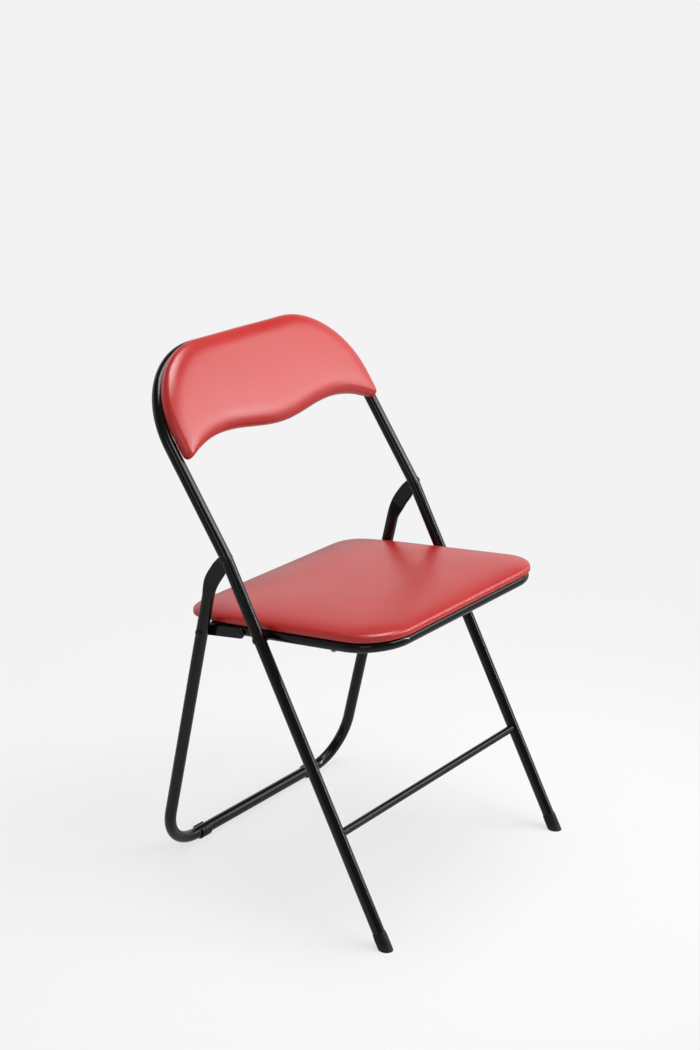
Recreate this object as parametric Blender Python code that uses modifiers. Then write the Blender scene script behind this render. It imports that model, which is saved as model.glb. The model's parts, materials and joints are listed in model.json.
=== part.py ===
"""Padded folding chair: bent steel tube, a seat that folds on toggle links, two vinyl pads.

Metres, +Z up. The sitter faces -Y and sits with their left hand at +X. The origin is on the
floor, midway under the chair. A place in the side view is (back, height): its distance behind
the front feet and above the floor.
"""
import math

import bmesh
import bpy
from mathutils import Matrix, Vector

# Steel tube
TUBE_R = 0.009
SEAT_TUBE_R = 0.008
STRETCHER_R = 0.006
TUBE_WALL = 0.001
TUBE_SIDES = 12
ARC_STEP = math.radians(12)

# Front frame: two legs that bend back at an elbow and meet in a hoop over the back pad
HALF_WIDTH = 0.226
ELBOW_BACK = 0.284
ELBOW_HEIGHT = 0.526
ELBOW_BEND_R = 0.080
HOOP_LENGTH = 0.3104
HOOP_LEAN = math.radians(34.77)
HOOP_CORNER_R = 0.134
STRETCHER_HEIGHT = 0.154

# Foot caps on the front legs
CAP_WALL = 0.0022
CAP_LIP = 0.0013
CAP_LENGTH = 0.040
CAP_TAPER = 0.012
CAP_SOLE = 0.004

# Rear frame: flattened tongues on the elbow rivets, a bend, straight legs and a floor bar
TONGUE_WIDTH = 0.025
TONGUE_THICK = 0.0031
TONGUE_FLAT = 0.038
TONGUE_SWELL = 0.030
TONGUE_SQUARENESS = 0.4
TONGUE_TIP_TURNS = [math.radians(turn) for turn in (84, 66, 46, 24)]
TONGUE_LEAN = math.radians(36)
TONGUE_REACH = 0.0578
REAR_BEND_R = 0.100
REAR_LEAN = math.radians(13.3)
REAR_CORNER_R = 0.075

# Clip-on glides round the floor bar
GLIDE_WALL = 0.0033
GLIDE_SOLE = 0.0022
GLIDE_LENGTH = 0.026
GLIDE_FROM_MIDDLE = 0.134
GLIDE_MOUTH = math.radians(96)
GLIDE_FLAT = math.radians(28)

# Seat frame: a U of thinner tube on rivets through the front legs
SEAT_PIVOT_DROP = 0.124
SEAT_TILT = math.radians(6.6)
SEAT_FRONT_REACH = 0.196
SEAT_REAR_REACH = 0.100
SEAT_CORNER_R = 0.062
PLUG_FLANGE = 0.002
PLUG_DEPTH = 0.010

# Toggle links from the sides of the seat tube to the rear legs
LINK_DROOP = math.radians(2)
LINK_WIDTH = 0.016
LINK_THICK = 0.0024

# Rivets, spacers and screws
RIVET_R = 0.003
RIVET_HEAD_R = 0.0066
RIVET_HEAD_H = 0.0026
RIVET_DOME_TURNS = [math.radians(turn) for turn in (0, 35, 65)]
RIVET_TAIL_R = 0.0056
RIVET_TAIL_H = 0.0016
STUB_HEAD_H = 0.0013
SPACER_R = 0.0064
SCREW_R = 0.00175
SCREW_HEAD_R = 0.0042
SCREW_HEAD_H = 0.0024
SCREW_BITE = 0.0055
ROUND_STEPS = 12
SLEEVE_STEPS = 24
SHARP_ANGLE = math.radians(40)

# Running and seating clearances
CLEAR = 0.0003
TONGUE_GAP = 0.0004
LINK_GAP = 0.0004
LINK_SEAT_GAP = 0.0007
FOAM_GAP = 0.0005
WELD_DISTANCE = 0.00001

# Both pads: a board, a foam layer and a vinyl cover with drawn-in sides and a crown
COVER_THICK = 0.001
BOARD_THICK = 0.0075
PAD_SIDE = 0.012
PAD_SIDE_DRAW = 0.0014
PAD_EDGE_ROUND = 0.0016
CROWN_RING_SCALES = (0.75, 0.45, 0.18)

# Seat pad
SEAT_PAD_INSET = 0.0015
SEAT_PAD_FRONT_OVERHANG = 0.003
SEAT_PAD_REAR_OVERHANG = 0.071
SEAT_PAD_TAPER = 0.0095
SEAT_PAD_TAPER_LENGTH = 0.080
SEAT_PAD_TAPER_R = 0.45
SEAT_PAD_FRONT_R = 0.066
SEAT_PAD_REAR_R = 0.045
SEAT_EDGE_ROLL = 0.020
SEAT_ROLL_SHARE = 0.62
SEAT_CROWN = 0.0085
SEAT_HEM = 0.022
SEAT_SCREW_FROM_CORNER = 0.020
SEAT_SCREW_FROM_PLUG = 0.006

# Back pad, measured up the hoop from the elbow
BACK_PAD_INSET = 0.003
BACK_PAD_RISE = 0.0056
BACK_PAD_TOP_R = 0.130
BACK_MIDDLE_HEIGHT = 0.158
BACK_ARCH_HEIGHT = 0.171
BACK_TIP_HEIGHT = 0.143
BACK_ARCH_X = 0.125
BACK_TIP_R = 0.008
BACK_TIP_RUN = 0.014
BACK_WAVE_STEPS = 18
BACK_EDGE_ROLL = 0.005
BACK_ROLL_SHARE = 0.55
BACK_CROWN = 0.0105

# Welded tabs that the back pad is screwed to
TAB_THICK = 0.0022
TAB_LENGTH = 0.024
TAB_WIDTH = 0.018
TAB_CORNER_R = 0.005
TAB_HOLE_FROM_END = 0.009
TAB_LOW_HEIGHT = 0.173
TAB_TOP_X = 0.088

# Front frame in the side view
LEG_LEAN = math.atan2(ELBOW_BACK, ELBOW_HEIGHT)
LEG_UP = Vector((math.sin(LEG_LEAN), math.cos(LEG_LEAN)))
HOOP_UP = Vector((math.sin(HOOP_LEAN), math.cos(HOOP_LEAN)))
ELBOW = Vector((ELBOW_BACK, ELBOW_HEIGHT))
HOOP_TOP = ELBOW + HOOP_LENGTH * HOOP_UP
LEG_END = (CAP_SOLE + TUBE_R * math.sin(LEG_LEAN)) / math.cos(LEG_LEAN)
CAP_BORE_R = TUBE_R + CLEAR
CAP_R = CAP_BORE_R + CAP_WALL
MIDDLE_BACK = (HOOP_TOP.x + TUBE_R - CAP_R / math.cos(LEG_LEAN)) / 2

# Faces across the chair, from the legs inwards
LEG_OUTER_FACE = HALF_WIDTH + TUBE_R
LEG_INNER_FACE = HALF_WIDTH - TUBE_R
TONGUE_X = LEG_INNER_FACE - TONGUE_GAP - TONGUE_THICK / 2
REAR_INNER_FACE = TONGUE_X - TONGUE_THICK / 2
REAR_HALF_WIDTH = REAR_INNER_FACE + TUBE_R
LINK_OUTER_FACE = REAR_INNER_FACE - LINK_GAP
LINK_INNER_FACE = LINK_OUTER_FACE - LINK_THICK
SEAT_OUTER_FACE = LINK_INNER_FACE - LINK_SEAT_GAP
SEAT_HALF_WIDTH = SEAT_OUTER_FACE - SEAT_TUBE_R
RIVET_HOLE_R = RIVET_R + CLEAR
SCREW_HOLE_R = SCREW_R + CLEAR

# Rear frame and links in the side view
BAR_HEIGHT = TUBE_R + CLEAR + GLIDE_SOLE
TONGUE_DOWN = Vector((math.sin(TONGUE_LEAN), -math.cos(TONGUE_LEAN)))
REAR_DOWN = Vector((math.sin(REAR_LEAN), -math.cos(REAR_LEAN)))
REAR_KNEE = ELBOW + TONGUE_REACH * TONGUE_DOWN
BAR = REAR_KNEE + (REAR_KNEE.y - BAR_HEIGHT) / math.cos(REAR_LEAN) * REAR_DOWN
SEAT_PIVOT = ELBOW - SEAT_PIVOT_DROP * LEG_UP
LINK_SLOPE = SEAT_TILT + LINK_DROOP
LINK_LINE = Vector((math.cos(LINK_SLOPE), -math.sin(LINK_SLOPE)))
PIVOT_SPAN = (REAR_KNEE - SEAT_PIVOT).cross(REAR_DOWN) / LINK_LINE.cross(REAR_DOWN)
LINK_PIVOT = SEAT_PIVOT + PIVOT_SPAN * LINK_LINE

# Folding brings the rear legs and the seat in line with the front legs
REAR_FOLD = -(LEG_LEAN + REAR_LEAN)
SEAT_FOLD = math.pi / 2 - LEG_LEAN + SEAT_TILT

# Heights of the pads over their tubes, and the sides of the sitter
SEAT_PAD_BASE = SEAT_TUBE_R + CLEAR
BACK_PAD_BASE = TUBE_R + CLEAR
SIDES = {"left": 1, "right": -1}


def link_length():
    """Length of a link whose front end lies on the line of the two pivots, open and folded."""
    rear_folded = ELBOW + Matrix.Rotation(REAR_FOLD, 2) @ (LINK_PIVOT - ELBOW) - SEAT_PIVOT
    line_folded = Matrix.Rotation(SEAT_FOLD, 2) @ LINK_LINE
    closing = PIVOT_SPAN - line_folded.dot(rear_folded)
    return PIVOT_SPAN - (PIVOT_SPAN ** 2 - rear_folded.length_squared) / (2 * closing)


LINK_LENGTH = link_length()


def world(x, place):
    """World point from a sideways distance and a (back, height) place."""
    return Vector((x, place[0] - MIDDLE_BACK, place[1]))


def mirrored(points):
    """The points of one side, in reverse order, on the other side."""
    return [Vector((-p.x, *p[1:])) for p in reversed(points)]


def new_collection(name):
    collection = bpy.data.collections.new(name)
    bpy.context.scene.collection.children.link(collection)
    return collection


for old in list(bpy.data.objects):
    bpy.data.objects.remove(old)
PARTS = new_collection("padded_folding_chair")
CUTTERS = new_collection("cutters")


def material(name, colour, roughness, metallic=0.0):
    mat = bpy.data.materials.new(name)
    mat.use_nodes = True
    shader = mat.node_tree.nodes["Principled BSDF"]
    shader.inputs["Base Color"].default_value = (*colour, 1.0)
    shader.inputs["Roughness"].default_value = roughness
    shader.inputs["Metallic"].default_value = metallic
    return mat


BLACK_ENAMEL = material("black_enamel", (0.012, 0.012, 0.013), 0.28)
BLACK_RUBBER = material("black_rubber", (0.016, 0.016, 0.016), 0.75)
BLACK_NYLON = material("black_nylon", (0.014, 0.014, 0.015), 0.5)
ZINC_STEEL = material("zinc_steel", (0.52, 0.53, 0.55), 0.35, 1.0)
RED_VINYL = material("red_vinyl", (0.56, 0.022, 0.028), 0.42)
PALE_FOAM = material("pale_foam", (0.74, 0.68, 0.50), 0.95)
PLYWOOD = material("plywood", (0.50, 0.34, 0.19), 0.7)


def empty(name, location, turn=0.0):
    """A frame for pieces that share a hinge axis or a slanted plane, turned about X."""
    obj = bpy.data.objects.new(name, None)
    obj.empty_display_size = SEAT_HEM
    obj.location = location
    obj.rotation_euler.x = turn
    PARTS.objects.link(obj)
    return obj


REAR_AXIS = empty("rear_fold_axis", world(0, ELBOW))
SEAT_AXIS = empty("seat_fold_axis", world(0, SEAT_PIVOT), -SEAT_TILT)
BACK_PLANE = empty("back_plane", world(0, ELBOW), -HOOP_LEAN)
LINK_AXES = {
    side: empty(f"link_axis_{side}", world(sign * LINK_OUTER_FACE, LINK_PIVOT), -LINK_SLOPE)
    for side, sign in SIDES.items()
}
bpy.context.view_layer.update()


def finish(obj, mat, parent=None, cuts=()):
    """Give a piece its material, its parent and the holes cut in it."""
    obj.data.materials.append(mat)
    obj.parent = parent
    for cutter in cuts:
        cut = obj.modifiers.new(cutter.name, "BOOLEAN")
        cut.operation = "DIFFERENCE"
        cut.object = cutter
    return obj


def hang(obj, axis):
    """Parent a piece that was modelled in world places to its axis, and leave it where it is."""
    obj.parent = axis
    obj.matrix_parent_inverse = axis.matrix_world.inverted()


def mesh_object(name, bm):
    bmesh.ops.recalc_face_normals(bm, faces=bm.faces)
    mesh = bpy.data.meshes.new(name)
    bm.to_mesh(mesh)
    bm.free()
    mesh.shade_smooth()
    mesh.set_sharp_from_angle(angle=SHARP_ANGLE)
    obj = bpy.data.objects.new(name, mesh)
    PARTS.objects.link(obj)
    return obj


def as_cutter(obj):
    """Keep an object only for cutting others."""
    for collection in list(obj.users_collection):
        collection.objects.unlink(obj)
    CUTTERS.objects.link(obj)
    obj.hide_render = True
    obj.display_type = "WIRE"
    return obj


def drill(name, radius, length, location, parent=None, rotation=(0, 0, 0), sides=ROUND_STEPS):
    """A cylinder along its own Z that cuts a round hole, with flats towards its own X and Y."""
    bpy.ops.mesh.primitive_cylinder_add(vertices=sides, radius=radius, depth=length)
    obj = as_cutter(bpy.context.active_object)
    obj.data.transform(Matrix.Rotation(math.pi / sides, 4, "Z"))
    obj.name = name
    obj.location = location
    obj.rotation_euler = rotation
    obj.parent = parent
    return obj


def cross_drill(name, place):
    """A rivet hole through both sides of the chair."""
    length = 2 * (LEG_OUTER_FACE + TUBE_R)
    return drill(name, RIVET_HOLE_R, length, world(0, place), rotation=(0, math.pi / 2, 0))


ELBOW_DRILL = cross_drill("elbow_drill", ELBOW)
SEAT_DRILL = cross_drill("seat_pivot_drill", SEAT_PIVOT)
LINK_DRILL = cross_drill("link_pivot_drill", LINK_PIVOT)


def rounded(corners, radii, step=ARC_STEP):
    """Points along straight runs whose corners are turned into arcs, in two or three dimensions."""
    points = []
    for i, (corner, radius) in enumerate(zip(corners, radii)):
        if radius == 0:
            points.append(corner)
            continue
        into = (corner - corners[i - 1]).normalized()
        away = (corners[(i + 1) % len(corners)] - corner).normalized()
        turn = into.angle(away)
        side = (away - into * into.dot(away)).normalized()
        start = corner - into * radius * math.tan(turn / 2)
        arcs = max(2, math.ceil(turn / step))
        for k in range(arcs + 1):
            angle = turn * k / arcs
            points.append(start + radius * (math.sin(angle) * into + (1 - math.cos(angle)) * side))
    return points


def new_curve(name, dimensions, splines, closed):
    """A curve object of straight-sided splines."""
    curve = bpy.data.curves.new(name, "CURVE")
    curve.dimensions = dimensions
    for points in splines:
        spline = curve.splines.new("POLY")
        spline.points.add(len(points) - 1)
        for spot, point in zip(spline.points, points):
            spot.co = (*point.to_3d(), 1.0)
        spline.use_cyclic_u = closed
    return bpy.data.objects.new(name, curve)


def to_mesh(curve_obj):
    """Swap a curve object for a welded mesh object of the same name."""
    PARTS.objects.link(curve_obj)
    shown = curve_obj.evaluated_get(bpy.context.evaluated_depsgraph_get())
    mesh = bpy.data.meshes.new_from_object(shown)
    name = curve_obj.name
    bpy.data.objects.remove(curve_obj)
    bm = bmesh.new()
    bm.from_mesh(mesh)
    bmesh.ops.remove_doubles(bm, verts=bm.verts, dist=WELD_DISTANCE)
    return mesh_object(name, bm)


def rod(name, path, radius, ends):
    """A round bar along a path, or its bare skin where the ends stay open."""
    curve_obj = new_curve(name, "3D", [path], False)
    curve_obj.data.bevel_depth = radius
    curve_obj.data.bevel_resolution = TUBE_SIDES // 2 - 2
    curve_obj.data.use_fill_caps = ends
    return to_mesh(curve_obj)


def tube(name, path, radius):
    """A hollow tube along a path, open at both ends."""
    obj = rod(name, path, radius, False)
    shell = obj.modifiers.new("wall", "SOLIDIFY")
    shell.thickness = TUBE_WALL
    shell.offset = -1
    shell.use_even_offset = True
    return obj


def plate(name, outline, thickness):
    """A flat plate in the XY plane, half its thickness to each side."""
    curve_obj = new_curve(name, "2D", [outline], True)
    curve_obj.data.fill_mode = "BOTH"
    curve_obj.data.extrude = thickness / 2
    return to_mesh(curve_obj)


def turned(name, profile, steps=ROUND_STEPS):
    """A piece turned about Z from (radius, height) points, listed down its outer side."""
    bm = bmesh.new()
    verts = [bm.verts.new((radius, 0, height)) for radius, height in profile]
    for upper, lower in zip(verts, verts[1:]):
        bm.edges.new((upper, lower))
    mesh = bpy.data.meshes.new(name)
    bm.to_mesh(mesh)
    bm.free()
    obj = bpy.data.objects.new(name, mesh)
    PARTS.objects.link(obj)
    spin = obj.modifiers.new("turn", "SCREW")
    spin.steps = steps
    spin.render_steps = steps
    spin.use_merge_vertices = True
    spin.merge_threshold = WELD_DISTANCE
    return obj


def loft(name, rings):
    """A closed body through rings of the same number of points, with its two ends filled.

    Every quad is split the same way, so that nested lofts keep their gap.
    """
    bm = bmesh.new()
    loops = [[bm.verts.new(point) for point in ring] for ring in rings]
    for low, high in zip(loops, loops[1:]):
        for i in range(len(low)):
            bm.faces.new((low[i - 1], low[i], high[i]))
            bm.faces.new((low[i - 1], high[i], high[i - 1]))
    bm.faces.new(loops[0])
    bm.faces.new(loops[-1])
    return mesh_object(name, bm)


def front_frame():
    """One tube: up a leg, back at the elbow, round the hoop and down the other leg."""
    side = [world(HALF_WIDTH, place) for place in (LEG_END * LEG_UP, ELBOW, HOOP_TOP)]
    radii = (0, ELBOW_BEND_R, HOOP_CORNER_R)
    path = rounded(side + mirrored(side), radii + radii[::-1])
    finish(tube("front_frame_tube", path, TUBE_R), BLACK_ENAMEL, cuts=(ELBOW_DRILL, SEAT_DRILL))


def front_stretcher():
    """A thin tube between the legs, its ends coped to the round of the legs."""
    place = STRETCHER_HEIGHT / math.cos(LEG_LEAN) * LEG_UP
    along_leg = (-LEG_LEAN, 0, 0)
    ends = [world(sign * HALF_WIDTH, place) for sign in SIDES.values()]
    copes = [
        drill(f"stretcher_cope_{side}", TUBE_R + CLEAR, 4 * TUBE_R, end, None, along_leg, SLEEVE_STEPS)
        for side, end in zip(SIDES, ends)
    ]
    finish(tube("front_stretcher", ends, STRETCHER_R), BLACK_ENAMEL, cuts=copes)


def front_foot_caps():
    """Rubber ferrules over the leg ends, cut flat by the floor."""
    bpy.ops.mesh.primitive_cube_add(size=1)
    floor = as_cutter(bpy.context.active_object)
    floor.name = "floor_cut"
    floor.scale = (3 * HALF_WIDTH, CAP_LENGTH, CAP_LENGTH)
    floor.location = world(0, (0, -CAP_LENGTH / 2))
    seat = LEG_END - CLEAR
    low = -CAP_R * math.tan(LEG_LEAN) - CAP_SOLE
    profile = (
        (0, seat),
        (CAP_BORE_R, seat),
        (CAP_BORE_R, CAP_LENGTH),
        (CAP_BORE_R + CAP_LIP, CAP_LENGTH),
        (CAP_R, CAP_LENGTH - CAP_TAPER),
        (CAP_R, low),
        (0, low),
    )
    for side, sign in SIDES.items():
        cap = turned(f"front_foot_cap_{side}", profile, SLEEVE_STEPS)
        cap.location = world(sign * HALF_WIDTH, (0, 0))
        cap.rotation_euler.x = -LEG_LEAN
        finish(cap, BLACK_RUBBER, cuts=(floor,))


def tongue_shape(run):
    """Half width, half thickness, inward shift and squareness at a distance from the elbow rivet."""
    ease = min(max((run - TONGUE_FLAT) / TONGUE_SWELL, 0), 1)
    ease = ease * ease * (3 - 2 * ease)
    flat_wide = TONGUE_WIDTH / 2
    flat_thick = TONGUE_THICK / 2
    if run < 0:
        flat_wide = max(flat_thick, math.sqrt(max(flat_wide ** 2 - run ** 2, 0)))
    wide = flat_wide + (TUBE_R - flat_wide) * ease
    thick = flat_thick + (TUBE_R - flat_thick) * ease
    power = TONGUE_SQUARENESS + (1 - TONGUE_SQUARENESS) * ease
    return wide, thick, (REAR_HALF_WIDTH - TONGUE_X) * (1 - ease), power


def rear_path():
    """Middle line of the rear frame, from the tip of one tongue to the tip of the other."""
    tips = [-TONGUE_WIDTH / 2 * math.sin(turn) for turn in TONGUE_TIP_TURNS]
    straight = [world(REAR_HALF_WIDTH, ELBOW + run * TONGUE_DOWN) for run in (*tips, 0, TONGUE_WIDTH)]
    knee = world(REAR_HALF_WIDTH, REAR_KNEE)
    corner = world(REAR_HALF_WIDTH, BAR)
    far_corner = world(-REAR_HALF_WIDTH, BAR)
    bent = rounded([straight[-1], knee, corner], (0, REAR_BEND_R, 0), step=ARC_STEP / 2)
    turn = rounded([knee, corner, far_corner], (0, REAR_CORNER_R, 0))
    side = straight + bent[1:-1] + turn[1:-1]
    return side + mirrored(side), tips[0]


def rear_frame():
    """A U of tube on the floor, its leg tops bent forward and pressed flat round the elbow rivets."""
    path, run = rear_path()
    runs = [run]
    for first, second in zip(path, path[1:]):
        runs.append(runs[-1] + (second - first).length)
    whole = runs[-1] + runs[0]
    runs = [min(run, whole - run) for run in runs]
    tangent = (path[1] - path[0]).normalized()
    out = Vector((1, 0, 0))
    rings = []
    for i, point in enumerate(path):
        ahead = (path[min(i + 1, len(path) - 1)] - path[max(i - 1, 0)]).normalized()
        out = tangent.rotation_difference(ahead) @ out
        tangent = ahead
        across = tangent.cross(out)
        wide, thick, shift, power = tongue_shape(runs[i])
        ring = []
        for k in range(TUBE_SIDES):
            angle = 2 * math.pi * k / TUBE_SIDES
            flat, deep = math.cos(angle), math.sin(angle)
            flat = math.copysign(abs(flat) ** power, flat) * wide
            deep = math.copysign(abs(deep) ** power, deep) * thick
            ring.append(point + across * flat + out * (deep - shift))
        rings.append(ring)
    frame = loft("rear_frame_tube", rings)
    hollow = [point for point, run in zip(path, runs) if run >= TONGUE_FLAT + TONGUE_SWELL]
    bore = as_cutter(rod("rear_frame_bore", hollow, TUBE_R - TUBE_WALL, True))
    finish(frame, BLACK_ENAMEL, cuts=(bore, LINK_DRILL, ELBOW_DRILL))
    hang(frame, REAR_AXIS)


def rear_glides():
    """Nylon clips round the floor bar, open above and flat below."""
    bore = TUBE_R + CLEAR
    outer = bore + GLIDE_WALL
    half_sweep = math.pi - GLIDE_MOUTH / 2
    turns = [half_sweep * (2 * k / SLEEVE_STEPS - 1) for k in range(SLEEVE_STEPS + 1)]
    drops = [BAR_HEIGHT if abs(turn) < GLIDE_FLAT else outer * math.cos(turn) for turn in turns]
    skin = [Vector((outer * math.sin(turn), -drop)) for turn, drop in zip(turns, drops)]
    inside = [bore * Vector((math.sin(turn), -math.cos(turn))) for turn in reversed(turns)]
    for side, sign in SIDES.items():
        clip = plate(f"rear_glide_{side}", skin + inside, GLIDE_LENGTH)
        clip.location = world(sign * GLIDE_FROM_MIDDLE, BAR)
        clip.rotation_euler = (math.pi / 2, 0, math.pi / 2)
        hang(finish(clip, BLACK_NYLON), REAR_AXIS)


def seat_frame(screw_drills):
    """A U of tube in the seat's own frame, its front at -Y, with plugs in its open rear ends."""
    side = [Vector((SEAT_HALF_WIDTH, y, 0)) for y in (SEAT_REAR_REACH, -SEAT_FRONT_REACH)]
    path = rounded(side + mirrored(side), (0, SEAT_CORNER_R, SEAT_CORNER_R, 0))
    frame = tube("seat_frame_tube", path, SEAT_TUBE_R)
    finish(frame, BLACK_ENAMEL, SEAT_AXIS, (SEAT_DRILL, *screw_drills))
    fit = SEAT_TUBE_R - TUBE_WALL - CLEAR
    profile = (
        (0, CLEAR + PLUG_FLANGE),
        (fit, CLEAR + PLUG_FLANGE),
        (SEAT_TUBE_R, CLEAR + PLUG_FLANGE / 2),
        (SEAT_TUBE_R, CLEAR),
        (fit, CLEAR),
        (fit, -PLUG_DEPTH),
        (0, -PLUG_DEPTH),
    )
    for side, sign in SIDES.items():
        plug = turned(f"seat_tube_plug_{side}", profile)
        plug.location = (sign * SEAT_HALF_WIDTH, SEAT_REAR_REACH, 0)
        plug.rotation_euler.x = -math.pi / 2
        finish(plug, BLACK_NYLON, SEAT_AXIS)


def rivet(name, outer_face, inner_face, place, sign):
    """A rivet along X: a domed head outside and a flat tail inside, both clear of what they clamp."""
    head = outer_face + CLEAR
    tail = inner_face - CLEAR
    dome = [
        (RIVET_HEAD_R * math.sin(turn), head + RIVET_HEAD_H * math.cos(turn))
        for turn in RIVET_DOME_TURNS
    ]
    piece = turned(name, (
        *dome,
        (RIVET_HEAD_R, head),
        (RIVET_R, head),
        (RIVET_R, tail),
        (RIVET_TAIL_R, tail),
        (RIVET_TAIL_R - RIVET_TAIL_H / 2, tail - RIVET_TAIL_H),
        (0, tail - RIVET_TAIL_H),
    ))
    piece.location = world(0, place)
    piece.rotation_euler.y = sign * math.pi / 2
    return finish(piece, BLACK_ENAMEL)


def pivots():
    """The rivets that the rear frame, the seat and the links turn on, and the seat's spacers."""
    near = SEAT_OUTER_FACE + CLEAR
    far = LEG_INNER_FACE - CLEAR
    bore = RIVET_HOLE_R
    collar = ((bore, near), (bore, far), (SPACER_R, far), (SPACER_R, near), (bore, near))
    for side, sign in SIDES.items():
        rivet(f"elbow_rivet_{side}", LEG_OUTER_FACE, REAR_INNER_FACE, ELBOW, sign)
        rivet(f"seat_rivet_{side}", LEG_OUTER_FACE, SEAT_HALF_WIDTH - SEAT_TUBE_R, SEAT_PIVOT, sign)
        rear_outer_face = REAR_HALF_WIDTH + TUBE_R
        rear = rivet(f"link_rear_rivet_{side}", rear_outer_face, LINK_INNER_FACE, LINK_PIVOT, sign)
        hang(rear, REAR_AXIS)
        spacer = turned(f"seat_spacer_{side}", collar)
        spacer.location = world(0, SEAT_PIVOT)
        spacer.rotation_euler.y = sign * math.pi / 2
        finish(spacer, ZINC_STEEL)


def toggle_links():
    """Flat links, each on its rear rivet, with the rivet stub of its front end."""
    half = LINK_WIDTH / 2
    front = Vector((-LINK_LENGTH, 0))
    turns = [math.pi * k / ROUND_STEPS - math.pi / 2 for k in range(ROUND_STEPS + 1)]
    rear_end = [half * Vector((math.cos(turn), math.sin(turn))) for turn in turns]
    front_end = [front - p for p in rear_end]
    stub_profile = (
        (0, CLEAR + STUB_HEAD_H),
        (RIVET_HEAD_R - STUB_HEAD_H, CLEAR + STUB_HEAD_H),
        (RIVET_HEAD_R, CLEAR),
        (RIVET_R, CLEAR),
        (RIVET_R, -LINK_THICK),
        (0, -LINK_THICK),
    )
    for side, sign in SIDES.items():
        axis = LINK_AXES[side]
        across = (0, math.pi / 2, 0)
        hole = (0, front.x, 0)
        front_drill = drill(f"link_front_drill_{side}", RIVET_HOLE_R, 4 * LINK_THICK, hole, axis, across)
        link = plate(f"toggle_link_{side}", rear_end + front_end, LINK_THICK)
        link.location.x = -sign * LINK_THICK / 2
        link.rotation_euler = (math.pi / 2, 0, math.pi / 2)
        finish(link, BLACK_ENAMEL, axis, (LINK_DRILL, front_drill))
        stub = turned(f"link_front_rivet_{side}", stub_profile)
        stub.location.y = front.x
        stub.rotation_euler.y = sign * math.pi / 2
        finish(stub, BLACK_ENAMEL, axis)


def screw(name, length, location, rotation, parent):
    """A pan-head screw along its own Z, with its origin under the head."""
    piece = turned(name, (
        (0, length),
        (SCREW_R, length - SCREW_R),
        (SCREW_R, 0),
        (SCREW_HEAD_R, 0),
        (SCREW_HEAD_R, -SCREW_HEAD_H / 2),
        (SCREW_HEAD_R - SCREW_HEAD_H / 2, -SCREW_HEAD_H),
        (0, -SCREW_HEAD_H),
    ))
    piece.location = location
    piece.rotation_euler = rotation
    finish(piece, ZINC_STEEL, parent)


def inset(outline, distance):
    """Move every side of a closed anticlockwise outline inwards by a distance."""
    moved = []
    for i, point in enumerate(outline):
        into = (point - outline[i - 1]).normalized()
        away = (outline[(i + 1) % len(outline)] - point).normalized()
        normal = Vector((-into.y - away.y, into.x + away.x)).normalized()
        moved.append(point + normal * distance / normal.dot(Vector((-into.y, into.x))))
    return moved


def drawn_in(outline, middle, oval, scale):
    """Draw an outline towards its middle, and round it towards an oval on the way."""
    ring = []
    for point in outline:
        spoke = point - middle
        angle = math.atan2(spoke.y / oval.y, spoke.x / oval.x)
        round_spoke = Vector((oval.x * math.cos(angle), oval.y * math.sin(angle)))
        ring.append(middle + scale * spoke.lerp(round_spoke, 1 - scale))
    return ring


def pad_skin(shape, base, roll, roll_share, crown, depth):
    """(outline, height) rings up a pad's side and over its crown, at a depth under its face."""
    outline, middle, oval = shape
    edge = base + PAD_SIDE
    steps = [
        (PAD_EDGE_ROUND, base + depth),
        (PAD_EDGE_ROUND / 4, base + max(depth, PAD_EDGE_ROUND)),
        (PAD_SIDE_DRAW, base + PAD_SIDE / 2),
        (0, edge - depth),
    ]
    for turn in (math.radians(30), math.radians(60), math.pi / 2):
        lift = crown * roll_share * math.sin(turn)
        steps.append((roll * (1 - math.cos(turn)), edge + lift - depth))
    rings = [(inset(outline, distance + depth), height) for distance, height in steps]
    rolled = rings[-1][0]
    for scale in CROWN_RING_SCALES:
        share = roll_share + (1 - roll_share) * (1 - scale * scale)
        rings.append((drawn_in(rolled, middle, oval, scale), edge + crown * share - depth))
    return rings


def pad_layers(shape, base, roll, roll_share, crown):
    """Rings of a pad's outer face, its cover's inner face and its foam, and its board's outline."""
    board_depth = COVER_THICK + CLEAR
    outer = pad_skin(shape, base, roll, roll_share, crown, 0)
    inner = pad_skin(shape, base, roll, roll_share, crown, COVER_THICK)
    foam = pad_skin(shape, base, roll, roll_share, crown, COVER_THICK + FOAM_GAP)[2:]
    board = inset(shape[0], board_depth + max(PAD_EDGE_ROUND, PAD_SIDE_DRAW))
    foam[0] = (board, base + board_depth + BOARD_THICK + CLEAR)
    return outer, inner, foam, board


def seat_shape():
    """Seat pad seen from above: parallel sides that draw in behind; its middle and its oval."""
    half = SEAT_OUTER_FACE - SEAT_PAD_INSET
    front = -SEAT_FRONT_REACH - SEAT_TUBE_R - SEAT_PAD_FRONT_OVERHANG
    rear = SEAT_REAR_REACH + SEAT_PAD_REAR_OVERHANG
    side = [
        Vector((half, front)),
        Vector((half, rear - SEAT_PAD_TAPER_LENGTH)),
        Vector((half - SEAT_PAD_TAPER, rear)),
    ]
    radii = (SEAT_PAD_FRONT_R, SEAT_PAD_TAPER_R, SEAT_PAD_REAR_R)
    outline = rounded(side + mirrored(side), radii + radii[::-1])
    return outline, Vector((0, (front + rear) / 2)), Vector((half, (rear - front) / 2))


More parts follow.
